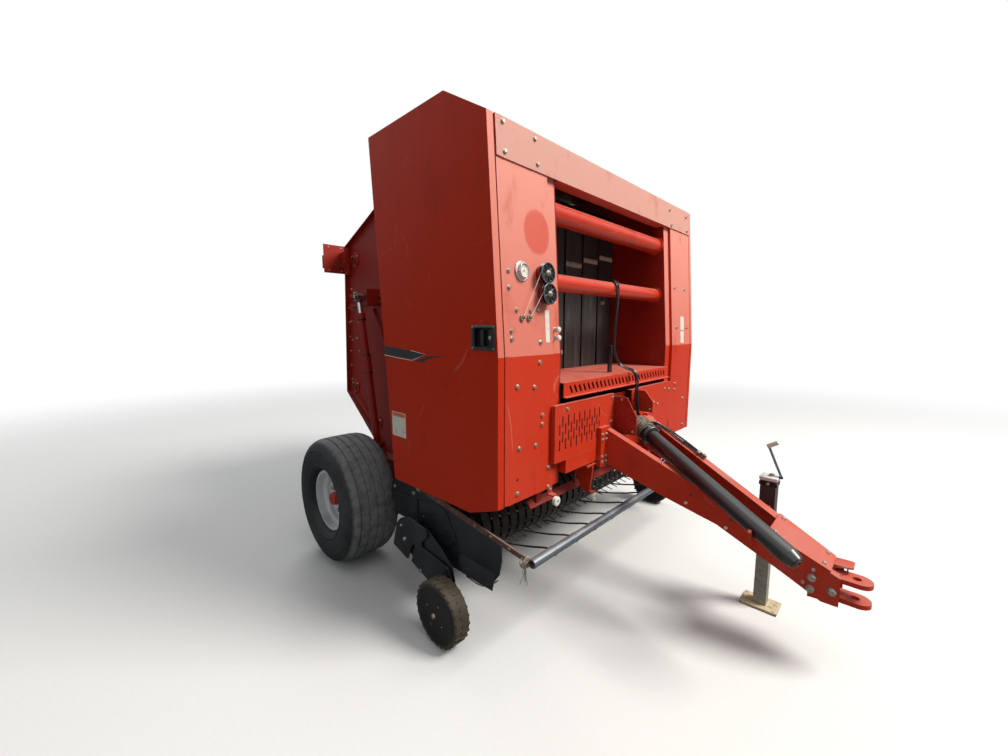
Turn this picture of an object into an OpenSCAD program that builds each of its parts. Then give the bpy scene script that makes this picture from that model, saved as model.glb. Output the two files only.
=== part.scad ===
// Round baler with a belt chamber, drawn in millimetres.
// X runs forward to the hitch, Y to the left, Z up from the ground.

/* [Wheels] */
// Outside diameter of a main tyre
tyre_d = 788; // [740:2:820]
// Width of a main tyre
tyre_w = 340; // [300:2:350]
// Outside diameter of a main rim's lip
rim_d = 380; // [360:2:400]
// Distance between the middles of the main tyres
track_w = 2104; // [2080:2:2130]
// Side of the square axle beam
axle_side = 100; // [80:2:110]
// Outside diameter of a gauge wheel
gauge_d = 310; // [280:2:330]
// Width of a gauge wheel
gauge_w = 84; // [70:2:95]

/* [Chamber] */
// Clear width between the chamber's side walls
chamber_w = 1202; // [1180:2:1210]
// Thickness of the side wall sheets
wall_t = 6; // [4:0.5:7]
// Height of the tailgate's pivot above the ground
pivot_z = 2300; // [2290:1:2310]
// Width of one belt
belt_w = 178; // [160:1:184]
// Thickness of a belt
belt_t = 6; // [5:0.5:8]
// Number of belts across the chamber
belt_n = 6; // [6:1:6]
// Diameter of the rollers that carry the belts
roller_d = 110; // [96:2:116]
// Diameter of the starter roller over the pickup
starter_d = 200; // [180:2:210]

/* [Shields] */
// Distance from a column's outer edge to the outer face of a side shield
shield_step = 63; // [60:1:78]
// Thickness of a side shield's sheet
shield_t = 4; // [3:0.5:5]
// Depth of the folded edge round a side shield
shield_fold = 35; // [30:1:38]
// Height of the side shields' top edge
shield_top = 2472; // [2466:1:2490]
// Height of the side shields' bottom edge
shield_bottom = 651; // [640:1:660]

/* [Front] */
// Front of the columns at their crease, ahead of the axle
front_x = 1381; // [1376:1:1390]
// Height of the crease in the front columns
crease_z = 1357; // [1300:1:1400]
// Distance from a chamber wall's outer face to a column's inner edge
column_step = 70; // [60:1:76]
// Width of a column
column_w = 303; // [290:1:306]
// Height of the top beam's upper edge
beam_top = 2312; // [2305:1:2320]
// Height of the top beam's lower edge
beam_low = 2151; // [2140:1:2170]
// Height of the upper cross tube's middle
upper_tube_z = 2029; // [2000:1:2060]
// Diameter of the upper cross tube
upper_tube_d = 102; // [90:1:106]
// Height of the lower cross tube's middle
lower_tube_z = 1700; // [1660:1:1740]
// Diameter of the lower cross tube
lower_tube_d = 87; // [76:1:92]
// Height of the twine shelf
shelf_z = 1214; // [1200:1:1230]

/* [Tongue] */
// Distance from the axle to the hitch hole
hitch_x = 2484; // [2460:1:2500]
// Height of the upper hitch ear's top face
hitch_top = 421; // [415:1:430]
// Radius of the hitch hole
hitch_r = 16; // [13:0.5:20]
// Clear gap between the two hitch ears
hitch_gap = 66; // [60:1:72]
// Thickness of one hitch ear
ear_t = 20; // [16:1:24]
// Thickness of a tongue rail's plate
rail_t = 8; // [6:0.5:10]
// Distance between the middles of the rails where they leave the frame
rail_spread = 512; // [500:2:524]
// Diameter of the driveshaft's guard tube
guard_d = 76; // [66:1:80]
// Side of the jack's outer tube
jack_side = 70; // [64:1:76]

/* [Pickup] */
// Height of the reel's shaft above the ground
reel_z = 430; // [425:1:440]
// Distance from the axle to the reel's shaft
reel_x = 930; // [925:1:940]
// Radius that the tine tips sweep
tine_r = 235; // [220:1:238]
// Radius of the stripper bands
band_r = 160; // [150:1:168]
// Distance from one stripper band to the next
band_pitch = 66; // [62:1:68]
// Number of stripper bands
band_n = 26; // [22:1:26]
// Width of one stripper band
band_w = 47; // [40:1:48]
// Thickness of a pickup end panel
panel_t = 6; // [4:0.5:8]
// Diameter of the windguard's front tube
wind_tube_d = 40; // [34:1:44]

/* [Hidden] */
$fn = 48;

// Running clearance between faces that move, and between seated curved faces
run_gap = 5;
seat_gap = 0.3;

wall_in = chamber_w / 2;
wall_out = wall_in + wall_t;
wall_fold = 45;
column_in = wall_out + column_step;
column_out = column_in + column_w;
shield_y = column_out + shield_step;
panel_y = column_out;
wall_low = 722;
// Slotted shields over the front cross beam, which carries the tongue
screen_x = front_x + 20;
screen_t = 4;
front_beam_low = 770;
front_beam_high = 838;
wall_rear_low = 572;
tyre_r = tyre_d / 2;
tyre_y = track_w / 2;
lamp_back = -860;
hitch_ear_r = 55;
nose_x = hitch_x + hitch_ear_r;
middle_x = (nose_x + lamp_back) / 2;

// Front line of the columns: straight from the bottom to the crease, then leaning back
front_lean = 63 / 955;
column_bottom = 715;
function front_at(z) = z > crease_z ? front_x - (z - crease_z) * front_lean : front_x - 3 * (crease_z - z) / 642;

// Tailgate pivot and the split between the frame and the tailgate
pivot_x = 470;
ear_r = 90;
split_x = 565;
tail_front = 550;
tail_fold_y = wall_out + 33;

// Outline of a tailgate side, as [x, z], clockwise from the top of the pivot's ear
tail_pts = [
  [pivot_x, pivot_z + ear_r], [-120, 2380], [-391, 2265], [-748, 2118],
  [-813, 948], [-405, 635], [-200, 475], [tail_front, 475], [tail_front, pivot_z]
];

// Belt rollers in the tailgate, as [x, z]
tail_rollers = [[300, 2292], [-640, 2012], [-712, 1000], [-370, 745], [330, 610]];

// Belt rollers in the front frame, as [x, z]
belt_x = 885;
front_belt_low = 1000;
front_belt_high = 2215;
starter_x = 1020;
starter_z = 868;
floor_x = 630;
floor_z = 650;

// Side shield, as [x, z]
shield_pts = [
  [418, shield_top], [1056, shield_top], [1318, beam_top], [front_x, crease_z],
  [front_x - 3, column_bottom], [1201, shield_bottom], [576, shield_bottom]
];
shield_hinge = [605, shield_y - 58];
shield_hinge_zs = [shield_bottom + 169, shield_top - 242];
shield_pin_r = 9;

// Tailgate cylinder: lower pin on the frame and upper eye beside the tailgate
cyl_low = [-130, 640];
cyl_high = [-325, 1700];
cyl_y = wall_out + 145;
cyl_d = 60;
cyl_rod_d = 36;
cyl_vec = cyl_high - cyl_low;
cyl_len = norm(cyl_vec);
cyl_lean = atan2(-cyl_vec[0], cyl_vec[1]);
// Length of rod and eye that show above the barrel
cyl_head = 122.8;
cyl_barrel_len = cyl_len - cyl_head;

// Frame rails beside the tailgate
frame_rail_y = wall_out + 93;
frame_rail_w = 80;
frame_rail_low = 470;
frame_rail_high = 560;
frame_rail_end = 640;

// Tongue rails run inward to the hitch
rail_rear = [1420, rail_spread / 2];
rail_front = [hitch_x - 48, 74];
plate_x = hitch_x - 84;
rail_turn = atan2(rail_front[1] - rail_rear[1], rail_front[0] - rail_rear[0]);
rail_len = norm(rail_front - rail_rear);
rail_lip = 50;
function rail_mid_y(x) = rail_rear[1] + tan(rail_turn) * (x - rail_rear[0]);
function rail_inner_y(x) = rail_mid_y(x) - (rail_t / 2) / cos(rail_turn) - seat_gap;
function rail_outer_y(x) = rail_mid_y(x) + (rail_t / 2) / cos(rail_turn) + seat_gap;
// Outline of a rail, as [distance from its rear end, height]
rail_pts = [
  [0, 938], [rail_len, 433], [rail_len, hitch_top - ear_t * 2 - hitch_gap - 8], [rail_len - 60, 312],
  [rail_len - 202, 395], [560, 545], [300, 632], [0, 748]
];

// Pickup's lift pivot and the rear tube that carries its floor
lift_x = 550;
lift_z = 560;
floor_tube_x = 640;
floor_tube_z = 415;
// Windguard's pivot on the end panels
wind_x = 735;
wind_z = 628;
wind_tube_x = 1529;
wind_tube_z = 522;
wind_arm_y = panel_y + 8;
wind_arm_t = 10;
wind_pin_y = wind_arm_y + wind_arm_t + 4;

gauge_x = 1084;
gauge_z = gauge_d / 2;
gauge_y = shield_y + 77;

jack_x = hitch_x - 384;
jack_y = 234;
jack_low = 335;
jack_high = 700;

shaft_z = 932;
shaft_rear = [1470, 0, shaft_z];
shaft_front = [hitch_x - 164, -360, 580];
// Plate hook that carries the driveshaft, as [y, z]; drawn on the left and mirrored
hook_x = hitch_x - 340;
hook_t = 12;
hook_pts = [[124, 534], [262, 593], [328, 594], [356, 640], [345, 650], [322, 606], [258, 605], [124, 548]];

// Points of the hose over the lower cross tube, as [x, y, z]
hose_d = 22;
hose_pts = [
  [1206, 30, 1620], [1207, 29, 1660], [1212.4, 28, 1700], [1219.9, 26, 1727.8], [1240.2, 23, 1748.2],
  [1268, 19, 1755.6], [1295.8, 14, 1748.2], [1316.1, 8, 1727.8], [1324, 1, 1698], [1326, -8, 1620],
  [1322, -14, 1520], [1316, -13, 1420], [1315, 0, 1330], [1334, 30, 1262], [1372, 50, 1238],
  [1414, 60, 1222], [1430, 64, 1170], [1432, 66, 1100], [1436, 70, 1020], [1446, 80, 960],
  [1470, 120, 926], [1510, 180, 908], [1560, 205, 882.5], [1640, 192, 843], [1720, 178, 803.5], [1800, 163, 764]
];

module place() {
  translate([-middle_x, 0, 0]) children();
}

module on_side(side) {
  if (side > 0) place() children();
  else place() mirror([0, 1, 0]) children();
}

// Sheet with an outline in X and Z, from y0 to y0 + t
module sheet_xz(points, y0, t) {
  translate([0, y0 + t, 0]) rotate([90, 0, 0]) linear_extrude(t) polygon(points);
}

// Round bar along Y
module bar_y(x, z, d, y0, y1) {
  translate([x, y0, z]) rotate([-90, 0, 0]) cylinder(d = d, h = y1 - y0);
}

// Round bar between two points
module bar_between(p, q, d) {
  v = q - p;
  translate(p) rotate([0, acos(v[2] / norm(v)), atan2(v[1], v[0])]) cylinder(d = d, h = norm(v));
}

// Box from its lowest to its highest corner
module block(low, high) {
  translate(low) cube(high - low);
}

// Four corners of a strip of thickness t on the left of the line from p to q
function strip(p, q, t) =
  let (u = (q - p) / norm(q - p), n = [-u[1], u[0]] * t)
  [p, q, q + n, p + n];

// Unit vector on the right of the line from p to q
function right_of(p, q) = let (u = (q - p) / norm(q - p)) [u[1], -u[0]];

// Path moved to its right by t, with mitred corners
function beside(path, t) =
  let (n = len(path))
  [for (i = [0 : n - 1])
    let (
      a = right_of(path[max(i - 1, 0)], path[max(i, 1)]),
      b = right_of(path[min(i, n - 2)], path[min(i + 1, n - 1)])
    )
    path[i] + t * (a + b) / (1 + a * b)];

// Outline of a band of thickness t on the right of a path
function band(path, t) =
  let (inner = beside(path, t))
  concat(path, [for (i = [len(path) - 1 : -1 : 0]) inner[i]]);

module chamber_wall(side) {
  low = [
    [split_x, 2430], [1050, 2430], [front_at(2290) - 16, 2290], [front_at(crease_z) - 16, crease_z],
    [front_at(wall_low) - 16, wall_low], [1250, wall_low], [1195, 762], [700, 762], [640, wall_rear_low],
    [split_x, wall_rear_low]
  ];
  edge = concat([[front_at(wall_low) - 23, wall_low]], [for (i = [5 : 9]) low[i]]);
  color("firebrick") on_side(side) difference() {
    union() {
      sheet_xz(low, wall_in, wall_t);
      sheet_xz(band(edge, 5), wall_out - 1, wall_fold + 1);
      bar_y(pivot_x, pivot_z, 50 - 2 * seat_gap, wall_in - 6, wall_out + 24);
      sheet_xz([[370, 2240], [720, 2200], [720, 2390], [370, 2370]], wall_out + 6, 14);
      block([split_x + 6, wall_out - 1, 2230], [700, wall_out + 8, 2360]);
      for (z = shield_hinge_zs) {
        block([shield_hinge[0] - 20, wall_out - 1, z - 14], [shield_hinge[0] + 20, shield_hinge[1], z - 6]);
        translate([shield_hinge[0], shield_hinge[1], z - 14]) cylinder(r = 20, h = 8);
        translate([shield_hinge[0], shield_hinge[1], z - 14]) cylinder(r = shield_pin_r, h = 40);
      }
      for (p = [[belt_x, front_belt_low], [belt_x, front_belt_high], [starter_x, starter_z], [floor_x, floor_z]]) {
        bar_y(p[0], p[1], 120, wall_out - 1, wall_out + 26);
      }
    }
    for (p = [[belt_x, front_belt_low], [belt_x, front_belt_high], [starter_x, starter_z], [floor_x, floor_z]]) {
      bar_y(p[0], p[1], 40 + 2 * seat_gap, wall_in - 8, wall_out + 60);
    }
  }
}

module column(side) {
  t = 4;
  zs = [column_bottom, crease_z, beam_top];
  face = concat([for (z = zs) [front_at(z), z]], [for (i = [2 : -1 : 0]) [front_at(zs[i]) - t, zs[i]]]);
  fold = concat([for (z = zs) [front_at(z), z]], [for (i = [2 : -1 : 0]) [front_at(zs[i]) - 22, zs[i]]]);
  web = concat([for (z = zs) [front_at(z) - 16.5, z]], [for (i = [2 : -1 : 0]) [front_at(zs[i]) - 22, zs[i]]]);
  color("orangered") on_side(side) {
    sheet_xz(face, column_in, column_out - column_in);
    sheet_xz(fold, column_in, t);
    sheet_xz(fold, column_out - t, t);
    sheet_xz(web, wall_out, column_in - wall_out + t);
    block([front_at(column_bottom) - 60, column_in, column_bottom], [front_at(column_bottom), column_out, column_bottom + t]);
  }
}

module top_beam() {
  half = column_out;
  plate = 6;
  color("tomato") place() {
    sheet_xz([
      [front_at(beam_top) + seat_gap, beam_top], [front_at(beam_low) + seat_gap, beam_low],
      [front_at(beam_low) + plate, beam_low], [front_at(beam_top) + plate, beam_top]
    ], -half, 2 * half);
    sheet_xz([
      [front_at(beam_top) - 70, beam_top], [front_at(beam_top) - 70, beam_top - plate],
      [front_at(beam_top) + 1, beam_top - plate], [front_at(beam_top) + 1, beam_top]
    ], -wall_in + seat_gap, 2 * wall_in - 2 * seat_gap);
    sheet_xz([
      [front_at(beam_low) - 70, beam_low + plate], [front_at(beam_low) - 70, beam_low],
      [front_at(beam_low) + 1, beam_low], [front_at(beam_low) + 1, beam_low + plate]
    ], -wall_in + seat_gap, 2 * wall_in - 2 * seat_gap);
  }
}

module cross_tubes() {
  // Columns: middle x, middle z, diameter
  tubes = [[1258, upper_tube_z, upper_tube_d], [1268, lower_tube_z, lower_tube_d]];
  color("firebrick") place() for (tube = tubes) {
    bar_y(tube[0], tube[1], tube[2], -wall_in + seat_gap, wall_in - seat_gap);
    for (s = [-1, 1]) {
      bar_y(tube[0], tube[1], tube[2] + 22, s * (wall_in - 5) - 4.7, s * (wall_in - 5) + 4.7);
    }
  }
}

module roof_sheet() {
  t = 4;
  half = shield_y - shield_fold - 18;
  color("firebrick") place() sheet_xz([
    [620, 2430 + t], [620, 2430 + seat_gap], [1050, 2430 + seat_gap], [1269, 2312 + seat_gap],
    [1270, 2312 + t], [1052, 2430 + t]
  ], -half, 2 * half);
}

module twine_shelf() {
  t = 5;
  front = front_x + 6;
  slot_pitch = 40;
  slot_n = floor((chamber_w - 60) / slot_pitch);
  riser_low = 1146;
  color("orangered") place() {
    difference() {
      union() {
        block([955, -wall_in + seat_gap, shelf_z - t], [front, wall_in - seat_gap, shelf_z]);
        block([front - t, -wall_in + seat_gap, riser_low], [front, wall_in - seat_gap, shelf_z]);
      }
      for (i = [0 : slot_n - 1]) {
        translate([front, (i - (slot_n - 1) / 2) * slot_pitch, (shelf_z - t + riser_low) / 2 - 2])
          rotate([30, 0, 0]) cube([3 * t, 15, 46], center = true);
      }
    }
    block([front - t, -wall_in + seat_gap, riser_low - t], [front + 16, wall_in - seat_gap, riser_low]);
    block([1285, -24, shelf_z], [1297, 6, shelf_z + 160]);
  }
}

module slotted_shields() {
  top = 1112;
  low = front_beam_high + seat_gap;
  t = screen_t;
  right = -column_in - 15;
  left = column_in - 51;
  inner = -148;
  // Slots in columns, each second column set lower
  slot_pitch = 23.5;
  slot_w = 9;
  slot_h = 56;
  slot_step = 75;
  slot_n = 16;
  slot_top = 1060;
  color("orangered") place() {
    difference() {
      block([screen_x, right, low], [screen_x + t, inner, top]);
      for (i = [0 : slot_n - 1]) {
        for (row = [0, 1]) {
          z = slot_top - row * slot_step - (i % 2 == 0 ? slot_step / 2 : 0);
          y = (right + inner) / 2 - 57 + (i - (slot_n - 1) / 2) * slot_pitch;
          block([screen_x - t, y - slot_w / 2, z - slot_h], [screen_x + 2 * t, y + slot_w / 2, z]);
        }
      }
    }
    translate([screen_x, 0, 0]) rotate([90, 0, 90]) linear_extrude(t) polygon([
      [110, low], [left, low], [left, top], [57, top], [57, 1006], [110, 930]
    ]);
    for (side = [[2 - column_in, inner], [57, left]]) {
      block([front_x - 10, side[0], top - t], [screen_x + t, side[1], top]);
    }
    // Folded outer edges, back to the column and to its web
    block([front_x + seat_gap, right, low], [screen_x + t, right + t, top]);
    block([front_x - 16.5 + seat_gap, left - t, low], [screen_x + t, left, top]);
    // Guard plate beside the driveshaft's joint
    sheet_xz([
      [screen_x + 1, 985], [1518, 985], [1518, 1050], [1470, 1110], [screen_x + 1, 1110]
    ], 96, 8);
  }
}

module feed_bar() {
  color("firebrick") place() {
    half = wall_out + 93;
    hanger_y = wall_out + 23;
    sheet_xz([[1236, 606], [1262, 572], [1267, 576], [1241, 612]], -half, 2 * half);
    for (s = [-1, 1]) {
      block([1251, s * hanger_y - 18, 592], [1262, s * hanger_y + 18, wall_low - seat_gap]);
    }
    block([1246, -300, 600], [1258, -286, 668]);
  }
}

// Children lie with X along a rail and Y across it, from the rail's rear end
module along_rail() {
  translate([rail_rear[0], rail_rear[1], 0]) rotate([0, 0, rail_turn]) children();
}

module tongue_rail(side) {
  lip = 6;
  color("red") on_side(side) {
    along_rail() sheet_xz(rail_pts, -rail_t / 2, rail_t);
    along_rail() sheet_xz(band([rail_pts[0], rail_pts[1]], lip), -rail_lip, rail_lip + rail_t / 2 - 1);
    along_rail() sheet_xz(band([for (i = [4 : 7]) rail_pts[i]], lip), -rail_lip, rail_lip + rail_t / 2 - 1);
    block([screen_x + screen_t + seat_gap, rail_rear[1] - 30, 735], [1428, rail_rear[1] + 60, 950]);
    // Hook that carries the driveshaft's free end
    if (side < 0) {
      translate([hook_x, 0, 0]) rotate([90, 0, 90]) linear_extrude(hook_t) polygon(hook_pts);
    }
  }
}

module tongue_plates() {
  slope = (433 - 938) / rail_len;
  t = 8;
  function rail_z(x) = 938 + slope * (x - rail_rear[0]) / cos(rail_turn) + 2 * seat_gap + 0.2;
  x0 = plate_x - 230;
  x1 = plate_x;
  half = 345;
  color("red") place() {
    // Plate over the front of the rails
    intersection() {
      sheet_xz(strip([x0, rail_z(x0)], [x1, rail_z(x1)], t), -200, 400);
      linear_extrude(1000) polygon([
        [x0 - 10, -rail_outer_y(x0 - 10)], [x1 + 10, -rail_outer_y(x1 + 10)],
        [x1 + 10, rail_outer_y(x1 + 10)], [x0 - 10, rail_outer_y(x0 - 10)]
      ]);
    }
    for (s = [-1, 1]) {
      sheet_xz([[1240, 836], [1394, 836], [1402, 735], [1385, 608], [1330, 608]], s * half - 5, 10);
      block([1300, s * half - 60, 748], [screen_x + screen_t, s * half + 60, 758]);
    }
    block([1330, -wall_in + seat_gap, front_beam_low], [screen_x + screen_t, wall_in - seat_gap, front_beam_high]);
  }
}

module hitch_clevis() {
  low = hitch_top - 2 * ear_t - hitch_gap;
  color("salmon") place() difference() {
    union() {
      for (z = [low, low + ear_t + hitch_gap]) {
        block([plate_x, -hitch_ear_r + 8, z], [hitch_x, hitch_ear_r - 8, z + ear_t]);
        translate([hitch_x, 0, z]) cylinder(r = hitch_ear_r - 8, h = ear_t);
        translate([hitch_x + 8, 0, z]) cylinder(r = hitch_ear_r - 8, h = ear_t);
      }
      translate([0, 0, low]) linear_extrude(hitch_top - low) polygon([
        [plate_x - 70, -rail_inner_y(plate_x - 70)], [plate_x + 10, -rail_inner_y(plate_x + 10)],
        [plate_x + 10, rail_inner_y(plate_x + 10)], [plate_x - 70, rail_inner_y(plate_x - 70)]
      ]);
    }
    translate([hitch_x, 0, low - 1]) cylinder(r = hitch_r, h = hitch_top - low + 2);
  }
}

module gearbox() {
  color("firebrick") place() {
    block([1200, -120, front_beam_high + seat_gap], [1360, 120, 1050]);
    translate([1359, 0, shaft_z]) rotate([0, 90, 0]) cylinder(d = 150, h = 36);
    sheet_xz([[1360, 880], [1538, 900], [1538, 1000], [1480, 1100], [1360, 1100]], -146, 8);
    block([1356, -146, 1060], [1366, 50, 1100]);
    block([1300, -60, 1049], [1366, 60, 1062]);
  }
}

module driveshaft_guard() {
  v = shaft_front - shaft_rear;
  u = v / norm(v);
  // Ribs of the boot over the joint, and the guard's tapered end
  rib_n = 5;
  rib_pitch = 11;
  end_len = 34;
  color("dimgray") place() {
    translate([1395 + seat_gap, 0, shaft_z]) rotate([0, 90, 0]) rotate_extrude() polygon(concat(
      [[0, 0], [72, 0]],
      [for (i = [0 : rib_n - 1]) for (p = [[70 - 3 * i, 3], [64 - 3 * i, 7], [69 - 3 * i, rib_pitch]]) [p[0], p[1] + i * rib_pitch]],
      [[0, rib_n * rib_pitch]]
    ));
    bar_between([1436, 0, shaft_z], shaft_rear + 30 * u, 92);
    bar_between(shaft_rear, shaft_rear + 110 * u, 104);
    bar_between(shaft_rear, shaft_front - end_len * u, guard_d);
    translate(shaft_front - (end_len + 1) * u) rotate([0, acos(u[2]), atan2(u[1], u[0])])
      cylinder(d1 = guard_d, d2 = guard_d - 22, h = end_len + 1);
  }
}

module jack_tube() {
  t = 5;
  h = jack_side / 2;
  color("dimgray") place() {
    difference() {
      block([jack_x - h, jack_y - h, jack_low], [jack_x + h, jack_y + h, jack_high]);
      block([jack_x - h + t, jack_y - h + t, jack_low - 1], [jack_x + h - t, jack_y + h - t, jack_high - t]);
    }
    for (z = [420, 480]) {
      translate([0, 0, z]) linear_extrude(20) polygon([
        [jack_x - 45, rail_outer_y(jack_x - 45)], [jack_x + 45, rail_outer_y(jack_x + 45)],
        [jack_x + 45, jack_y - h + 1], [jack_x - 45, jack_y - h + 1]
      ]);
    }
    block([jack_x - h - 4, jack_y - h - 4, jack_high], [jack_x + h + 4, jack_y + h + 4, jack_high + 14]);
    bar_between([jack_x + 20, jack_y, jack_high + 10], [jack_x + 56, jack_y, jack_high + 18], 14);
    bar_between([jack_x + 52, jack_y, jack_high + 14], [jack_x - 16, jack_y, 872], 11);
    bar_between([jack_x - 18, jack_y, 870], [jack_x + 22, jack_y, 896], 20);
  }
}

module jack_leg() {
  half = jack_side / 2 - 5 - seat_gap;
  color("silver") place() {
    block([jack_x - half, jack_y - half, 10], [jack_x + half, jack_y + half, jack_high - 60]);
    block([jack_x - 85, jack_y - 63, 0], [jack_x + 85, jack_y + 63, 12]);
  }
}

module axle_beam() {
  h = axle_side / 2;
  color("firebrick") place() {
    block([-h, -tyre_y + 190, tyre_r - h], [h, tyre_y - 190, tyre_r + h]);
    for (s = [-1, 1]) {
      bar_y(0, tyre_r, 60, min(s * (tyre_y - 191), s * (tyre_y + 30)), max(s * (tyre_y - 191), s * (tyre_y + 30)));
      block([-70, s * (frame_rail_y) - 40, tyre_r + h - 1], [70, s * (frame_rail_y) + 40, frame_rail_low]);
    }
  }
}

module frame_rails() {
  color("firebrick") place() for (s = [-1, 1]) {
    block([-190, s * frame_rail_y - 40, frame_rail_low], [frame_rail_end, s * frame_rail_y + 40, frame_rail_high]);
    block([
      split_x + 10, s * (wall_out + 40) - 30, frame_rail_high - 1
    ], [frame_rail_end, s * (wall_out + 40) + 30, wall_rear_low - seat_gap]);
    for (y = [cyl_y - 38, cyl_y + 30]) {
      sheet_xz([[-180, frame_rail_high - 60], [-60, frame_rail_high - 60], [-100, 668], [-160, 668]], s > 0 ? y : -y - 8, 8);
    }
    bar_y(cyl_low[0], cyl_low[1], 28, s > 0 ? cyl_y - 38 : -cyl_y - 46, s > 0 ? cyl_y + 46 : -cyl_y + 38);
    bar_y(lift_x, lift_z, 30, s * (frame_rail_y + 62.5) - 27.5, s * (frame_rail_y + 62.5) + 27.5);
  }
}

module front_rollers() {
  // Columns: middle x, middle z, diameter
  rollers = [
    [belt_x, front_belt_low, roller_d], [belt_x, front_belt_high, roller_d],
    [starter_x, starter_z, starter_d], [floor_x, floor_z, 140]
  ];
  color("dimgray") place() for (r = rollers) {
    bar_y(r[0], r[1], r[2], -wall_in + run_gap, wall_in - run_gap);
    bar_y(r[0], r[1], 40, -wall_out - 40, wall_out + 40);
  }
}

// Middles of the belts across the chamber
belt_pitch = (chamber_w - 14) / belt_n;
belt_ys = [for (i = [0 : belt_n - 1]) (i - (belt_n - 1) / 2) * belt_pitch];

module front_belts() {
  r = roller_d / 2 + seat_gap;
  mid = (front_belt_low + front_belt_high) / 2;
  tall = front_belt_high - front_belt_low;
  module loop_solid(radius, w) {
    bar_y(belt_x, front_belt_low, 2 * radius, -w / 2, w / 2);
    bar_y(belt_x, front_belt_high, 2 * radius, -w / 2, w / 2);
    translate([belt_x, 0, mid]) cube([2 * radius, w, tall], center = true);
  }
  color("black") place() for (y = belt_ys) translate([0, y, 0]) difference() {
    loop_solid(r + belt_t, belt_w);
    loop_solid(r, belt_w + 2);
  }
}

// Path that leaves each of a list of rollers on its left at a radius, from angle first to angle last
function wrap_path(centres, radius, first, last) =
  let (n = len(centres), steps = 6)
  [for (i = [0 : n - 1])
    let (
      a = right_of(centres[max(i - 1, 0)], centres[max(i, 1)]),
      b = right_of(centres[min(i, n - 2)], centres[min(i + 1, n - 1)]),
      from = i == 0 ? first : (atan2(a[1], a[0]) + 360) % 360,
      to = i == n - 1 ? last : (atan2(b[1], b[0]) + 360) % 360
    )
    for (k = [0 : steps]) centres[i] + radius * [
      cos(from + (to - from) * k / steps), sin(from + (to - from) * k / steps)
    ]];

module tailgate_belts() {
  r = roller_d / 2 + 2 * seat_gap;
  inner = wrap_path(tail_rollers, r, 90, 270);
  outer = wrap_path(tail_rollers, r + belt_t, 90, 270);
  outline = concat(outer, [for (i = [len(inner) - 1 : -1 : 0]) inner[i]]);
  color("black") place() for (y = belt_ys) sheet_xz(outline, y - belt_w / 2, belt_w);
}

module tailgate_rollers() {
  color("dimgray") place() for (p = tail_rollers) {
    bar_y(p[0], p[1], roller_d, -wall_in + run_gap, wall_in - run_gap);
    bar_y(p[0], p[1], 36, -wall_out - 20, wall_out + 20);
  }
}

module tailgate_side(side) {
  t = 4;
  fold_y = tail_fold_y;
  // Pressed ribs on the outside, as [[from x, from z], [to x, to z], width]
  ribs = [
    [[-730, 1720], [-190, 1700], 30], [[-730, 1640], [-190, 1660], 26],
    [[-385, 1610], [-173, 1262], 26], [[-760, 935], [-400, 700], 30],
    [[-150, 1180], [-150, 700], 26]
  ];
  color("maroon") on_side(side) difference() {
    union() {
      sheet_xz(tail_pts, wall_in, wall_t);
      bar_y(pivot_x, pivot_z, 2 * ear_r, wall_in, wall_out);
      sheet_xz(band([for (i = [1 : 7]) tail_pts[i]], t), wall_out - 1, fold_y - wall_out + 1);
      for (rib = ribs) {
        sheet_xz(strip(rib[0], rib[1], rib[2]), wall_out - 1, 19);
      }
      block([-760, wall_out - 1, 1900], [-700, fold_y, 2110]);
      sheet_xz([[-365, 1640], [-285, 1640], [-285, 1760], [-365, 1760]], wall_out - 1, cyl_y - 42 - wall_out);
    }
    bar_y(pivot_x, pivot_z, 50, wall_in - 2, wall_out + 2);
    for (p = tail_rollers) {
      bar_y(p[0], p[1], 36 + 2 * seat_gap, wall_in - 2, wall_out + 40);
    }
  }
}

module tailgate_beams() {
  color("maroon") place() {
    block([-560, -wall_in + seat_gap, 2215 - 50], [-460, wall_in - seat_gap, 2215]);
    block([-800, -wall_in + seat_gap, 1480], [-740, wall_in - seat_gap, 1560]);
    block([-340, -wall_in + seat_gap, 590], [-240, wall_in - seat_gap, 648]);
  }
}

module tailgate_lamps() {
  color("orange") place() for (s = [-1, 1]) {
    plate_mid = s * (tail_fold_y + 35);
    lens_mid = s * (tail_fold_y + 80);
    arm_mid = s * (tail_fold_y + 4 + seat_gap);
    block([-822, plate_mid - 105, 1915], [-816, plate_mid + 105, 2135]);
    block([lamp_back, lens_mid - 55, 1950], [-821, lens_mid + 55, 2050]);
    block([-817, arm_mid - 4, 1960], [-712, arm_mid + 4, 2080]);
  }
}

module shield(side) {
  back = shield_y - shield_fold;
  n = len(shield_pts);
  ring = beside([for (i = [-1 : n]) shield_pts[(i + n) % n]], shield_t);
  inset = [for (i = [1 : n]) ring[i]];
  color("firebrick") on_side(side) difference() {
    union() {
      sheet_xz(shield_pts, shield_y - shield_t, shield_t);
      difference() {
        sheet_xz(shield_pts, back, shield_fold - 1);
        sheet_xz(inset, back - 1, shield_fold + 1);
      }
      block([1226, shield_y - 28, 1387], [1363, shield_y - 1, 1485]);
      for (z = shield_hinge_zs) {
        block([shield_hinge[0] - 20, shield_hinge[1], z + 0.5], [shield_hinge[0] + 20, shield_y - 1, z + 12]);
        translate([shield_hinge[0], shield_hinge[1], z + 0.5]) cylinder(r = 20, h = 11.5);
      }
    }
    block([1231, shield_y - 24, 1392], [1358, shield_y + 1, 1480]);
    for (z = shield_hinge_zs) {
      translate([shield_hinge[0], shield_hinge[1], z - 2]) cylinder(r = shield_pin_r + seat_gap, h = 20);
    }
  }
}

// Where the tyre's bead sits on the rim: half the rim's width between its lips, and its radius
bead_y = tyre_w / 2 - 52;
bead_r = rim_d / 2 - 8;

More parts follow.
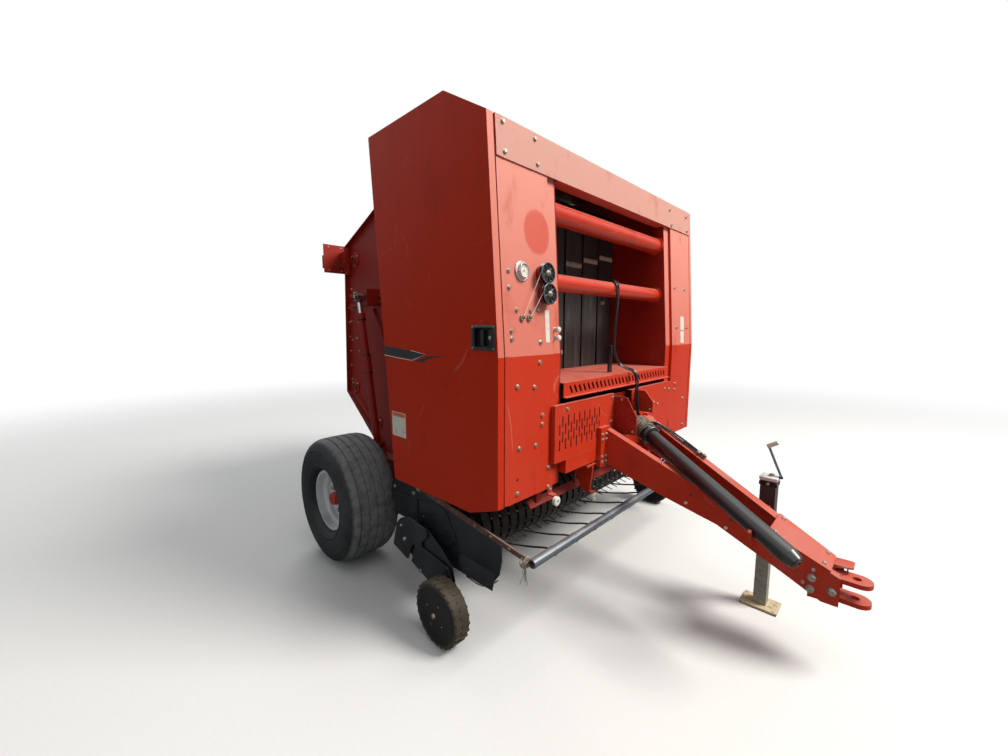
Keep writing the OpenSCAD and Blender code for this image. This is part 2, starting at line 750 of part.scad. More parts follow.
// Main tyre, from its profile as [distance from the wheel's middle along the axle, radius]
module tyre(side) {
  w = tyre_w / 2;
  r = tyre_r;
  half = [
    [bead_y, bead_r], [bead_y, bead_r + 17], [w - 18, bead_r + 30], [w - 7, bead_r + 68],
    [w, bead_r + 118], [w - 7, r - 50], [w - 26, r - 20], [w - 48, r - 8], [90, r - 2]
  ];
  inside = [[bead_y - 30, bead_r], [bead_y - 28, bead_r + 20], [w - 42, bead_r + 60], [w - 34, r - 90], [w - 60, r - 44]];
  profile = concat(
    [for (i = [len(half) - 1 : -1 : 0]) half[i]],
    inside,
    [for (i = [len(inside) - 1 : -1 : 0]) [-inside[i][0], inside[i][1]]],
    [for (p = half) [-p[0], p[1]]]
  );
  color("dimgray") on_side(side) translate([0, tyre_y, tyre_r]) rotate([90, 0, 0]) difference() {
    rotate_extrude($fn = 96) polygon([for (p = profile) [p[1], p[0]]]);
    for (g = [-104, -52, 0, 52, 104]) {
      rotate_extrude($fn = 96) polygon([[r - 10, g - 5], [r + 5, g - 7], [r + 5, g + 7], [r - 10, g + 5]]);
    }
  }
}

module rim(side) {
  lip = rim_d / 2;
  seat = bead_r - seat_gap;
  y = bead_y + seat_gap;
  barrel = [
    [y + 8, lip], [y, lip], [y, seat], [y - 30, seat], [y - 46, seat - 20], [-y + 46, seat - 20],
    [-y + 30, seat], [-y, seat], [-y, lip], [-y - 8, lip], [-y - 8, seat - 8], [-y + 34, seat - 8],
    [-y + 50, seat - 28], [y - 50, seat - 28], [y - 34, seat - 8], [y + 8, seat - 8]
  ];
  disc = [
    [34, seat - 24], [42, seat - 24], [46, seat - 48], [58, seat - 62], [58, 40], [48, 40],
    [48, seat - 66], [36, seat - 52]
  ];
  color("silver") on_side(side) translate([0, tyre_y, tyre_r]) rotate([-90, 0, 0]) difference() {
    union() {
      rotate_extrude($fn = 96) polygon([for (p = barrel) [p[1], p[0]]]);
      rotate_extrude($fn = 96) polygon([for (p = disc) [p[1], p[0]]]);
      translate([0, 0, -50]) cylinder(r = 52, h = 132);
      cylinder(r = 38, h = 104);
    }
    translate([0, 0, -60]) cylinder(d = 60 + 2 * seat_gap, h = 60 + 31);
  }
}

// Children lie with Z along a tailgate cylinder, from its lower pin
module along_cylinder() {
  translate([cyl_low[0], cyl_y, cyl_low[1]]) rotate([0, -cyl_lean, 0]) children();
}

module cylinder_barrel(side) {
  color("maroon") on_side(side) along_cylinder() difference() {
    union() {
      rotate([-90, 0, 0]) translate([0, 0, -26]) cylinder(r = 26, h = 52);
      translate([0, 0, 18]) cylinder(d = cyl_d - 10, h = 540);
      translate([0, 0, 500]) cylinder(d = cyl_d, h = 150);
      translate([0, 0, 640]) cylinder(d = cyl_d - 12, h = cyl_barrel_len - 640);
      translate([0, 0, cyl_barrel_len - 45]) cylinder(d = cyl_d - 2, h = 45);
      translate([-44, -7, 700]) cube([24, 14, 190]);
    }
    rotate([-90, 0, 0]) translate([0, 0, -30]) cylinder(r = 14 + seat_gap, h = 60);
    translate([0, 0, 60]) cylinder(d = cyl_rod_d + 2 * seat_gap, h = cyl_barrel_len);
  }
}

module cylinder_rod(side) {
  color("silver") on_side(side) along_cylinder() {
    translate([0, 0, 70]) cylinder(d = cyl_rod_d, h = cyl_len - 90);
    translate([0, 26, cyl_len]) rotate([90, 0, 0]) cylinder(r = 30, h = 52);
    translate([0, 36, cyl_len]) rotate([90, 0, 0]) cylinder(r = 13, h = 72);
  }
}

module pickup_panels() {
  t = panel_t;
  outline = [
    [426, 521], [440, 590], [560, 618], [702, 616], [1322, 541], [1336, 505], [1336, 440], [1320, 372],
    [1292, 333], [1240, 306], [1109, 281], [1004, 275], [900, 284], [700, 330], [560, 400], [440, 470]
  ];
  // Pressed fields on the outside, the lower chine's fold and the gauge wheel's arm, as [x, z]
  fields = [
    [[722, 545], [872, 576], [944, 560], [1030, 430], [862, 300], [721, 500]],
    [[450, 520], [700, 548], [700, 470], [560, 405], [485, 405]]
  ];
  chine = [[0, 372], [24, 300], [20, 299], [-4, 370]];
  arm = [
    [566, 270], [603, 405], [640, 445], [670, 460], [726, 475], [860, 462], [883, 440], [883, 421],
    [832, 372], [841, 349], [1053, 325], [1110, 210], [1116, 155], [1108, 134], [1084, 125], [1056, 132],
    [900, 190], [742, 238], [760, 292], [780, 320], [778, 342], [758, 338], [732, 298], [703, 236]
  ];
  arm_y = shield_y + 8;
  color("darkslategray") place() for (s = [-1, 1]) {
    sheet_xz(outline, s > 0 ? panel_y - t : -panel_y, t);
    for (field = fields) {
      sheet_xz(field, s > 0 ? panel_y - 1 : -panel_y - 7, 8);
    }
    translate([1050, 0, 0]) rotate([90, 0, 90]) linear_extrude(250)
      polygon([for (p = chine) [s * (panel_y + p[0]), p[1]]]);
    // Gauge wheel arm, its spacer and its stub axle
    sheet_xz(arm, s > 0 ? arm_y : -arm_y - 8, 8);
    bar_y(690, 400, 50, s > 0 ? panel_y - 1 : -arm_y - 1, s > 0 ? arm_y + 1 : -panel_y + 1);
    bar_y(gauge_x, gauge_z, 30, s > 0 ? arm_y + 2 : -gauge_y - 30, s > 0 ? gauge_y + 30 : -arm_y - 2);
    // Pivot of the windguard
    bar_y(wind_x, wind_z, 24, s > 0 ? panel_y - 3 : -wind_pin_y, s > 0 ? wind_pin_y : -panel_y + 3);
    bar_y(wind_x, wind_z, 60, s > 0 ? panel_y - t : -panel_y, s > 0 ? panel_y : -panel_y + t);
  }
}

module pickup_strippers() {
  t = 3;
  half = panel_y - panel_t - seat_gap;
  color("dimgray") place() {
    // Bands curve under, round and over the reel
    for (i = [0 : band_n - 1]) translate([0, (i - (band_n - 1) / 2) * band_pitch - band_w / 2, 0]) {
      difference() {
        bar_y(reel_x, reel_z, 2 * band_r, 0, band_w);
        bar_y(reel_x, reel_z, 2 * (band_r - t), -1, band_w + 1);
        block([reel_x - 300, -1, reel_z - 300], [reel_x, band_w + 1, reel_z + 300]);
      }
      block([700, 0, reel_z + band_r - t], [reel_x + 1, band_w, reel_z + band_r]);
      block([640, 0, reel_z - band_r], [reel_x + 1, band_w, reel_z - band_r + t]);
    }
    sheet_xz(strip([656, lift_z], [702, reel_z + band_r], -t), -half, 2 * half);
    block([655, -half, reel_z - band_r], [659, half, lift_z]);
    block([640, -half, reel_z - band_r], [660, half, reel_z - band_r + t]);
    bar_y(floor_tube_x, floor_tube_z, 50, -half, half);
    // Lift arms from the frame's pivots to the floor tube
    for (s = [-1, 1]) difference() {
      sheet_xz([[510, 530], [540, 520], [620, 400], [659, 400], [659, 470], [590, 590], [550, 600], [515, 590]],
        s * (frame_rail_y + 54) - 6, 12);
      bar_y(lift_x, lift_z, 30 + 2 * seat_gap, -900, 900);
    }
  }
}

module pickup_reel() {
  half = panel_y - 30;
  tine_bars = 4;
  bar_circle = 120;
  tine_d = 6;
  color("gray") place() translate([reel_x, 0, reel_z]) {
    bar_y(0, 0, 50, -panel_y + panel_t + seat_gap, panel_y - panel_t - seat_gap);
    for (y = [-half + 4, 0, half - 4]) {
      bar_y(0, 0, 2 * bar_circle + 30, y - 4, y + 4);
    }
    for (k = [0 : tine_bars - 1]) rotate([0, k * 360 / tine_bars + 20, 0]) {
      bar_y(bar_circle, 0, 24, -half, half);
      for (i = [0 : band_n - 2]) {
        y = (i - (band_n - 2) / 2) * band_pitch;
        translate([bar_circle, y, 0]) rotate([0, 90, 0]) cylinder(d = tine_d, h = tine_r - bar_circle, $fn = 16);
      }
    }
  }
}

module windguard_tube() {
  rod_pitch = 132;
  rod_n = 15;
  rod_d = 9;
  rod = [
    [wind_tube_x - wind_tube_d / 2 - seat_gap, wind_tube_z + 1], [1370, 480], [1240, 456]
  ];
  color("darkgray") place() {
    bar_y(wind_tube_x, wind_tube_z, wind_tube_d, -wind_arm_y - 12, wind_arm_y + 12);
    for (i = [0 : rod_n - 1]) {
      sheet_xz(band(rod, rod_d), (i - (rod_n - 1) / 2) * rod_pitch - rod_d / 2, rod_d);
    }
  }
}

module windguard_arms() {
  color("sienna") place() for (s = [-1, 1]) {
    y0 = s > 0 ? wind_arm_y : -wind_arm_y - wind_arm_t;
    difference() {
      union() {
        sheet_xz(strip([wind_x, wind_z - 14], [wind_tube_x - 20, wind_tube_z - 12], 24), y0, wind_arm_t);
        bar_y(wind_x, wind_z, 56, y0, y0 + wind_arm_t);
      }
      bar_y(wind_x, wind_z, 24 + 2 * seat_gap, y0 - 1, y0 + wind_arm_t + 1);
      bar_y(wind_tube_x, wind_tube_z, wind_tube_d, y0 - 1, y0 + wind_arm_t + 1);
    }
  }
}

module gauge_wheel(side) {
  r = gauge_d / 2;
  w = gauge_w / 2;
  lug_n = 26;
  color("black") on_side(side) translate([gauge_x, gauge_y, gauge_z]) rotate([-90, 0, 0]) difference() {
    union() {
      rotate_extrude() polygon([
        [24, -w + 10], [60, -w + 14], [r - 30, -w + 6], [r - 10, -w], [r - 5, -w + 8], [r - 5, w - 8],
        [r - 10, w], [r - 30, w - 4], [60, w - 14], [24, w - 14]
      ]);
      cylinder(r = 30, h = w + 4);
      for (i = [0 : lug_n - 1]) rotate([0, 0, i * 360 / lug_n]) {
        translate([r - 14, -5, -w + 3]) cube([13.5, 10, w + 2]);
        rotate([0, 0, 180 / lug_n]) translate([r - 14, -5, -4]) cube([13.5, 10, w + 1]);
      }
    }
    translate([0, 0, -w - 10]) cylinder(d = 30 + 2 * seat_gap, h = w + 10 + 32);
  }
}

// Children lie with Z out of the column's leaning face, at a point in Y and Z
module on_column(p, out) {
  translate([front_at(p[1]) + out, p[0], p[1]]) rotate([0, 90 - atan(front_lean), 0]) children();
}

module twine_fittings() {
  color("gainsboro") place() {
    // Pressure gauge, two pulleys and their pins on the right column
    on_column([-column_in - 202, 1714], seat_gap) cylinder(d = 86, h = 22);
    for (p = [[-column_in - 70, 1712], [-column_in - 62, 1623]]) {
      on_column(p, seat_gap) {
        cylinder(d = 24, h = 34);
        translate([0, 0, 12]) cylinder(d = 97, h = 8);
        translate([0, 0, 26]) cylinder(d = 97, h = 8);
        translate([0, 0, 12]) cylinder(d = 70, h = 20);
      }
    }
    // Twine guides
    for (p = [[22 - column_in, 1468], [22 - column_in, 1430]]) {
      on_column(p, seat_gap - 16.5) cylinder(d = 26, h = 40);
    }
    // Twine eyelets, one under the column and one beside the gusset
    for (p = [[front_x + 14, 4 - column_in, 652], [front_x + 4, -318, 566]]) {
      translate(p) rotate([0, 90, 0]) difference() {
        cylinder(d = 46, h = 20);
        translate([0, 0, -1]) cylinder(d = 16, h = 22);
      }
    }
    eye_y = 4 - column_in;
    block([front_x - 20, eye_y - 17, 667], [front_x + 16, eye_y + 17, 682]);
    block([front_x - 20, eye_y - 17, 667], [front_x - 10, eye_y + 17, column_bottom - seat_gap]);
    block([front_x - 41, -340 + seat_gap, 586], [front_x + 20, -300, 594]);
    block([front_x - 41, -340 + seat_gap, 586], [front_x - 5, -334, 650]);
  }
}

// Tube of a given diameter swept along a list of points
function unit(v) = v / norm(v);
function along(points, i) =
  let (n = len(points))
  unit(points[min(i + 1, n - 1)] - points[max(i - 1, 0)]);
module swept_tube(points, d, sides) {
  n = len(points);
  rings = [
    for (i = [0 : n - 1])
      let (u = along(points, i), a = unit(cross(u, [0, 1, 0.02])), b = cross(u, a))
      for (k = [0 : sides - 1]) points[i] + d / 2 * (cos(360 * k / sides) * a + sin(360 * k / sides) * b)
  ];
  faces = concat(
    [[for (k = [0 : sides - 1]) k]],
    [[for (k = [sides - 1 : -1 : 0]) (n - 1) * sides + k]],
    [for (i = [0 : n - 2]) for (k = [0 : sides - 1])
      [i * sides + k, (i + 1) * sides + k, (i + 1) * sides + (k + 1) % sides, i * sides + (k + 1) % sides]]
  );
  polyhedron(points = rings, faces = faces, convexity = 6);
}

// Smooth curve through the hose's points
function curve_point(p, t) = 0.5 * (
  2 * p[1] + (p[2] - p[0]) * t + (2 * p[0] - 5 * p[1] + 4 * p[2] - p[3]) * t * t
  + (3 * p[1] - p[0] - 3 * p[2] + p[3]) * t * t * t
);
function smooth(points, steps) =
  let (n = len(points))
  concat([
    for (i = [0 : n - 2]) for (s = [0 : steps - 1])
      curve_point([points[max(i - 1, 0)], points[i], points[i + 1], points[min(i + 2, n - 1)]], s / steps)
  ], [points[n - 1]]);

module hydraulic_hose() {
  color("black") place() swept_tube(smooth(hose_pts, 2), hose_d, 10);
}

chamber_wall(-1);  // chamber_wall_right
chamber_wall(1);  // chamber_wall_left
column(-1);  // column_right
column(1);  // column_left
top_beam();
cross_tubes();
roof_sheet();
twine_shelf();
slotted_shields();
feed_bar();
tongue_rail(-1);  // tongue_rail_right
tongue_rail(1);  // tongue_rail_left
tongue_plates();
hitch_clevis();
gearbox();
driveshaft_guard();
jack_tube();
jack_leg();
axle_beam();
frame_rails();
front_rollers();
front_belts();
twine_fittings();
hydraulic_hose();
tailgate_side(-1);  // tailgate_side_right
tailgate_side(1);  // tailgate_side_left
tailgate_beams();
tailgate_rollers();
tailgate_belts();
tailgate_lamps();
shield(-1);  // shield_right
shield(1);  // shield_left
tyre(-1);  // tyre_right
tyre(1);  // tyre_left
rim(-1);  // rim_right
rim(1);  // rim_left
cylinder_barrel(-1);  // cylinder_barrel_right
cylinder_barrel(1);  // cylinder_barrel_left
cylinder_rod(-1);  // cylinder_rod_right
cylinder_rod(1);  // cylinder_rod_left
pickup_panels();
pickup_strippers();
pickup_reel();
windguard_tube();
windguard_arms();
gauge_wheel(-1);  // gauge_wheel_right
gauge_wheel(1);  // gauge_wheel_left
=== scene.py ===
"""Round baler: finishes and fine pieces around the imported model, laid out as an add-on."""

import math
import random

import bmesh
import bpy
from bpy.props import FloatProperty, FloatVectorProperty, PointerProperty
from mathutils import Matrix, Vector


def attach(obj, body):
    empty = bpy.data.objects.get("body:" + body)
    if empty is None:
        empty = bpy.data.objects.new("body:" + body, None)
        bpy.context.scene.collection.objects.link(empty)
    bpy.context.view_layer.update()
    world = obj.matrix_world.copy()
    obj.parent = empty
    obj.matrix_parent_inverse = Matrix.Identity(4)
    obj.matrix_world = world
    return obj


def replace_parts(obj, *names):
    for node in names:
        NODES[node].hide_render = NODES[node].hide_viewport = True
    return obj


bl_info = {
    "name": "Round baler",
    "version": (1, 0, 0),
    "blender": (4, 5, 0),
    "location": "View3D > Sidebar > Baler",
    "description": "Finishes and fine pieces of a towed round baler",
    "category": "Object",
}

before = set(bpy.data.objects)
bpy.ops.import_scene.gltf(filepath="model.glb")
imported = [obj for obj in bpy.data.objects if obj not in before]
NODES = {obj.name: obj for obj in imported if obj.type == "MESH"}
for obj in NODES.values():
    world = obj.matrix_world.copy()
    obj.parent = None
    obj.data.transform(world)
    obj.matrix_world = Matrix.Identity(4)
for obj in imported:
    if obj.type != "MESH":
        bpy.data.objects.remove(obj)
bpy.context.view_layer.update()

# The source's X counts from the axle; the frame's X counts from the middle of the machine
MIDDLE_X = 839.5


def linear(code):
    """Linear colour of a six digit colour code."""
    parts = [int(code[i : i + 2], 16) / 255 for i in (0, 2, 4)]
    return tuple(c / 12.92 if c <= 0.04045 else ((c + 0.055) / 1.055) ** 2.4 for c in parts)


def toned(colour, factor):
    """A darker or paler tone of a colour."""
    return tuple(min(1, c * factor) for c in colour)


def at(x, y, z):
    """Point of the source, in millimetres from the axle, in the frame's metres."""
    return Vector(((x - MIDDLE_X) / 1000, y / 1000, z / 1000))


# Settings


def colour_setting(name, description, code):
    return FloatVectorProperty(
        name=name, description=description, subtype="COLOR", size=3, min=0, max=1, default=linear(code)
    )


class BalerColours(bpy.types.PropertyGroup):
    """Colours of the baler's finishes."""

    red: colour_setting("Red paint", "Paint of the shields, columns and tongue", "c12d0d")
    # The faded paint is also the colour of the painted sky sheen above the crease
    faded: colour_setting("Faded paint", "Red paint where sun and dust have bleached it", "de9484")
    # The deep red is a darker copy of the red paint: painted shade on the chamber walls, frame, tailgate and
    # other parts that sit in shade
    deep: colour_setting("Deep red paint", "Paint of the frame and the tailgate", "8a1c12")
    charcoal: colour_setting("Charcoal paint", "Paint of the pickup's end panels", "1f2428")
    silver: colour_setting("Silver paint", "Paint of the rims", "d6d8da")
    dust: colour_setting("Dust", "Dry dust on faces that look up", "8f8982")
    rust: colour_setting("Rust", "Rust on edges and bare steel", "5a2d1a")
    rubber: colour_setting("Tyre rubber", "Rubber of the tyres", "232527")
    belt: colour_setting("Belt rubber", "Rubber of the belts", "343230")
    plastic: colour_setting("Black plastic", "Driveshaft guard, boot and hose", "141517")
    lamp: colour_setting("Lamp", "Lens of the rear lamps", "d9601a")
    label: colour_setting("Blank label", "Blank labels and the gauge's dial", "dcd8cc")
    floor: colour_setting("Floor", "Studio floor", "e4e4e2")


class BalerSizes(bpy.types.PropertyGroup):
    """Sizes of the baler's fine pieces and of the camera."""

    bolt: FloatProperty(
        name="Bolt head", description="Width of a bolt head across its flats", default=0.019,
        min=0.01, max=0.03, unit="LENGTH",
    )
    camera_lens: FloatProperty(
        name="Lens", description="Focal length of the camera in millimetres", default=14.85,
        min=8, max=80, unit="CAMERA",
    )


# Materials


def maths(operation, reflected=False):
    """A method of a value that adds a Math node; reflected puts the value second."""

    def method(self, other):
        first, second = (other, self) if reflected else (self, other)
        return self.nodes.node("ShaderNodeMath", {"operation": operation}, {0: first, 1: second})

    return method


class Value:
    """An output of a material's node, with arithmetic."""

    def __init__(self, nodes, output):
        self.nodes = nodes
        self.output = output

    __add__ = __radd__ = maths("ADD")
    __mul__ = __rmul__ = maths("MULTIPLY")
    __sub__ = maths("SUBTRACT")
    __rsub__ = maths("SUBTRACT", reflected=True)
    __truediv__ = maths("DIVIDE")
    __pow__ = maths("POWER")
    least = maths("MINIMUM")
    most = maths("MAXIMUM")


class Nodes:
    """A tree of nodes under construction, of a material or of the world."""

    def __init__(self, tree):
        self.tree = tree

    def node(self, kind, settings, inputs, output=0):
        """Adds a node of a kind, sets it, then sets or links its sockets, and gives one of its outputs."""
        made = self.tree.nodes.new(kind)
        for name, value in settings.items():
            setattr(made, name, value)
        for key, value in inputs.items():
            self.feed(made.inputs[key], value)
        return Value(self, made.outputs[output])

    def feed(self, socket, value):
        """Links a value to a socket, or sets the socket to a plain number or colour."""
        if isinstance(value, Value):
            self.tree.links.new(value.output, socket)
        elif value is not None:
            if socket.type == "RGBA":
                value = (*value, 1)
            socket.default_value = value

    def band(self, value, low, high):
        """0 below low, 1 above high, smooth between; falls instead where low is above high."""
        start, end = sorted((low, high))
        rise = self.node(
            "ShaderNodeMapRange", {"interpolation_type": "SMOOTHSTEP"},
            {"Value": value, "From Min": start, "From Max": end},
        )
        return rise if low < high else 1 - rise

    def mix(self, first, second, factor):
        settings = {"data_type": "RGBA", "clamp_factor": True}
        return self.node("ShaderNodeMix", settings, {0: factor, 6: first, 7: second}, 2)

    def split(self, vector):
        made = self.node("ShaderNodeSeparateXYZ", {}, {0: vector})
        return [Value(self, output) for output in made.output.node.outputs]


class Finish(Nodes):
    """A procedural material under construction."""

    def __init__(self, name):
        self.material = bpy.data.materials.new(name)
        self.material.use_nodes = True
        super().__init__(self.material.node_tree)
        self.shader = self.tree.nodes["Principled BSDF"]
        self.place = self.node("ShaderNodeTexCoord", {}, {}, "Object")

    def stretched(self, stretch):
        return self.node("ShaderNodeVectorMath", {"operation": "MULTIPLY"}, {0: self.place, 1: stretch})

    def noise(self, scale, detail=4, stretch=None, roughness=0.55):
        place = self.stretched(stretch) if stretch else self.place
        return self.node(
            "ShaderNodeTexNoise", {},
            {"Vector": place, "Scale": scale, "Detail": detail, "Roughness": roughness}, "Fac",
        )

    def facing(self):
        """How far the surface faces ahead, aside and up, which turns with the piece."""
        return self.split(self.node("ShaderNodeTexCoord", {}, {}, "Normal"))

    def rounded(self, radius):
        """The surface's direction with its edges rounded off."""
        return self.node("ShaderNodeBevel", {"samples": 4}, {"Radius": radius})

    def edges(self, rounded):
        """1 on sharp edges and corners, 0 on flat faces."""
        both = {0: rounded, 1: self.node("ShaderNodeNewGeometry", {}, {}, "Normal")}
        same = self.node("ShaderNodeVectorMath", {"operation": "DOT_PRODUCT"}, both, "Value")
        return self.band(1 - same, 0.004, 0.09)

    def line(self, value, level):
        """1 on the thin curves along which a smooth value passes a level."""
        off = value - level
        return self.band(off * off, 0.000004, 0.0000004)

    def bump(self, height, strength, distance, normal=None):
        inputs = {"Height": height, "Strength": strength, "Distance": distance, "Normal": normal}
        return self.node("ShaderNodeBump", {}, inputs)

    def done(self, **sockets):
        """Feeds the shader's sockets and gives the material."""
        for name, value in sockets.items():
            self.feed(self.shader.inputs[name.replace("_", " ").title()], value)
        return self.material


def painted(
    name, colour, faded, dust, rust,
    fade=0.0, high=0.0, dusty=0.5, chips=0.5, gloss=0.36, shine=0.3, spot=None,
):
    """Weathered paint: faded in clouds and paler on faces that look up, dusty on top, scratched and chipped.

    Above the crease, faces that look ahead are paler still, as high sets: a painted sky sheen over some sun
    fading.
    A spot, as middle Y and Z, half width and half height, is where something shaded the paint."""
    f = Finish(name)
    _, y, z = f.split(f.place)
    ahead, _, up = f.facing()
    rounded = f.rounded(0.0025)
    edge = f.edges(rounded)
    cloud = f.noise(1.1, 6, None, 0.6)
    patch = f.noise(6, 6, (1, 1, 0.6), 0.6)
    grit = f.noise(70, 5)
    scratch = f.line(f.noise(0.9, 1), 0.5) + f.line(f.noise(1.3, 1, (1, 1, 2.5)), 0.46)
    scratch = scratch * f.band(patch, 0.55, 0.62)
    nick = f.band(f.noise(30, 6), 0.7, 0.74) * f.band(patch, 0.45, 0.6)

    # Fading, and painted sky sheen above the crease
    crease = CREASE_Z / 1000
    # Painted sheen: paler above the crease on faces that look ahead, less so in the spot
    above = f.band(ahead, 0.5, 0.9) * f.band(z, crease - 0.0015, crease + 0.0015)
    above = above * (0.64 + f.band(z, crease, 2.25) * 0.36) * high
    if spot:
        across = (y - spot[0]) / spot[2]
        along = (z - spot[1]) / spot[3]
        shaded = f.band(across * across + along * along + cloud * 0.4 + patch * 0.5, 1.7, 1.25)
        above = above * (1 - shaded * 0.6)
    # Fade in clouds, the painted sheen above the crease, and paler faces that look up
    fade_and_sheen = fade * (0.35 + f.band(cloud, 0.35, 0.68) * 0.65) + above + f.band(up, 0.4, 0.9) * 0.3
    fade_and_sheen = fade_and_sheen.least(1.0)
    base = f.mix(colour, faded, fade_and_sheen)
    base = f.mix(base, toned(colour, 0.6), f.band(patch, 0.46, 0.28) * 0.35)

    # Dust that lies on top, dirt thrown up from below, and specks
    lying = f.band(up, 0.35, 0.95) * (0.2 + 0.5 * f.band(patch, 0.35, 0.65))
    low = f.band(z, 0.75, 0.2) * f.band(patch, 0.4, 0.7) * 0.3
    specks = f.band(grit * patch, 0.3, 0.42) * 0.2
    powder = ((lying + low + specks) * dusty).least(0.8)
    base = f.mix(base, dust, powder)

    # Wear
    base = f.mix(base, faded, (scratch * 0.22 + edge * f.band(patch, 0.4, 0.55) * 0.3).least(1.0))
    worn = (edge * f.band(grit, 0.54, 0.62) + nick * 0.7) * chips
    base = f.mix(base, rust, worn.least(1.0))
    rough = (gloss + powder * 0.45 + fade_and_sheen * 0.14 + f.band(cloud, 0.3, 0.7) * 0.05 + worn * 0.3).least(0.9)
    height = grit * 0.15 + patch * 0.25 - worn * 0.8 + powder * f.noise(240, 2) * 0.6
    f.shader.inputs["Specular IOR Level"].default_value = shine
    return f.done(base_color=base, roughness=rough, normal=f.bump(height, 0.25, 0.0012, rounded))


def bare_steel(name, colour, rust, dust, rusty=0.3, rough=0.35, metal=0.85, grain=(1, 1, 1)):
    """Bare or thinly coated steel with brushed wear, rust bloom and dust."""
    f = Finish(name)
    up = f.facing()[2]
    rounded = f.rounded(0.0015)
    edge = f.edges(rounded)
    cloud = f.noise(6, 5)
    grit = f.noise(60, 5)
    brushed = f.noise(45, 3, grain)
    bloom = (f.band(cloud * 0.6 + grit * 0.5, 0.62 - rusty * 0.35, 0.78 - rusty * 0.3)).least(1.0)
    base = f.mix(colour, toned(colour, 0.55), f.band(brushed, 0.35, 0.7) * 0.6)
    base = f.mix(base, toned(colour, 1.6), edge * 0.4)
    base = f.mix(base, rust, bloom * 0.85)
    powder = f.band(up, 0.3, 0.9) * f.band(cloud, 0.3, 0.65) * 0.45
    base = f.mix(base, dust, powder)
    matt = (bloom + powder).least(1.0)
    return f.done(
        base_color=base,
        roughness=(rough + matt * 0.45 + f.band(brushed, 0.3, 0.8) * 0.12).least(0.95),
        metallic=(1 - matt) * metal,
        normal=f.bump(grit * 0.4 + brushed * 0.5, 0.2, 0.0008, rounded),
    )


def rubbery(name, colour, dust, middle=None, dusty=0.5, rough=0.6, shine=0.35):
    """Rubber or plastic with dust. Where a wheel's middle and radius are given, its tread is dustier."""
    f = Finish(name)
    up = f.facing()[2]
    cloud = f.noise(7, 5)
    grit = f.noise(90, 4)
    scuff = f.noise(24, 5)
    powder = f.band(up, 0.1, 0.95) * 0.35 + f.band(cloud, 0.4, 0.75) * 0.3 + f.band(grit, 0.5, 0.75) * 0.2
    if middle:
        x, _, z = f.split(f.place)
        ahead = x - middle[0]
        above = z - middle[1]
        radius = (ahead * ahead + above * above) ** 0.5
        rings = f.band(radius, middle[2] - 0.03, middle[2] - 0.012)
        powder = powder * 0.45 + rings * (0.52 + f.band(scuff, 0.35, 0.65) * 0.3)
    powder = (powder * dusty).least(0.9)
    base = f.mix(colour, toned(colour, 0.5), f.band(cloud, 0.4, 0.65) * 0.6)
    base = f.mix(base, dust, powder)
    f.shader.inputs["Specular IOR Level"].default_value = shine
    return f.done(
        base_color=base, roughness=(rough + powder * 0.3).least(0.95),
        normal=f.bump(grit * 0.7 + scuff * 0.2, 0.3, 0.001, f.rounded(0.0015)),
    )


def belting(name, colour, dust):
    """Belt rubber with a fine cross texture, brown scuffs and hay marks along the belt."""
    f = Finish(name)
    cloud = f.noise(3.2, 5)
    run = f.noise(5, 5, (1, 7, 0.5))
    grit = f.noise(120, 3)
    cells = {"Vector": f.stretched((1, 1, 1.6)), "Scale": 160}
    weave = f.node("ShaderNodeTexVoronoi", {}, cells, "Distance")
    marks = f.band(run, 0.52, 0.72) * 0.55 + f.band(cloud, 0.55, 0.75) * 0.35
    base = f.mix(colour, toned(colour, 0.35), f.band(run, 0.5, 0.25) * 0.7)
    base = f.mix(base, dust, (marks * (0.4 + grit * 0.5)).least(0.7))
    return f.done(
        base_color=base, roughness=(0.5 + marks * 0.35).least(0.9),
        normal=f.bump(weave * 0.6 + grit * 0.3, 0.35, 0.0012),
    )


def lamp_lens(name, colour):
    """Ribbed lens, cloudy in places."""
    f = Finish(name)
    ribs = f.node("ShaderNodeTexWave", {"bands_direction": "Z"}, {"Vector": f.place, "Scale": 60}, "Fac")
    cloud = f.noise(14, 4)
    base = f.mix(colour, toned(colour, 0.45), f.band(cloud, 0.4, 0.7) * 0.5)
    return f.done(
        base_color=base, roughness=0.22 + cloud * 0.2, normal=f.bump(ribs, 0.35, 0.001), coat_weight=0.4
    )


def enamel(name, colour, dirt):
    """Smooth enamel or film, a little grubby: blank labels, the dial, white guides."""
    f = Finish(name)
    cloud = f.noise(24, 5)
    specks = f.band(f.noise(160, 3), 0.62, 0.7)
    grime = (f.band(cloud, 0.45, 0.8) * 0.45 + specks * 0.25).least(0.8)
    base = f.mix(colour, dirt, grime)
    return f.done(base_color=base, roughness=0.4 + grime * 0.3, normal=f.bump(cloud, 0.1, 0.0005))


FINISHES = {}


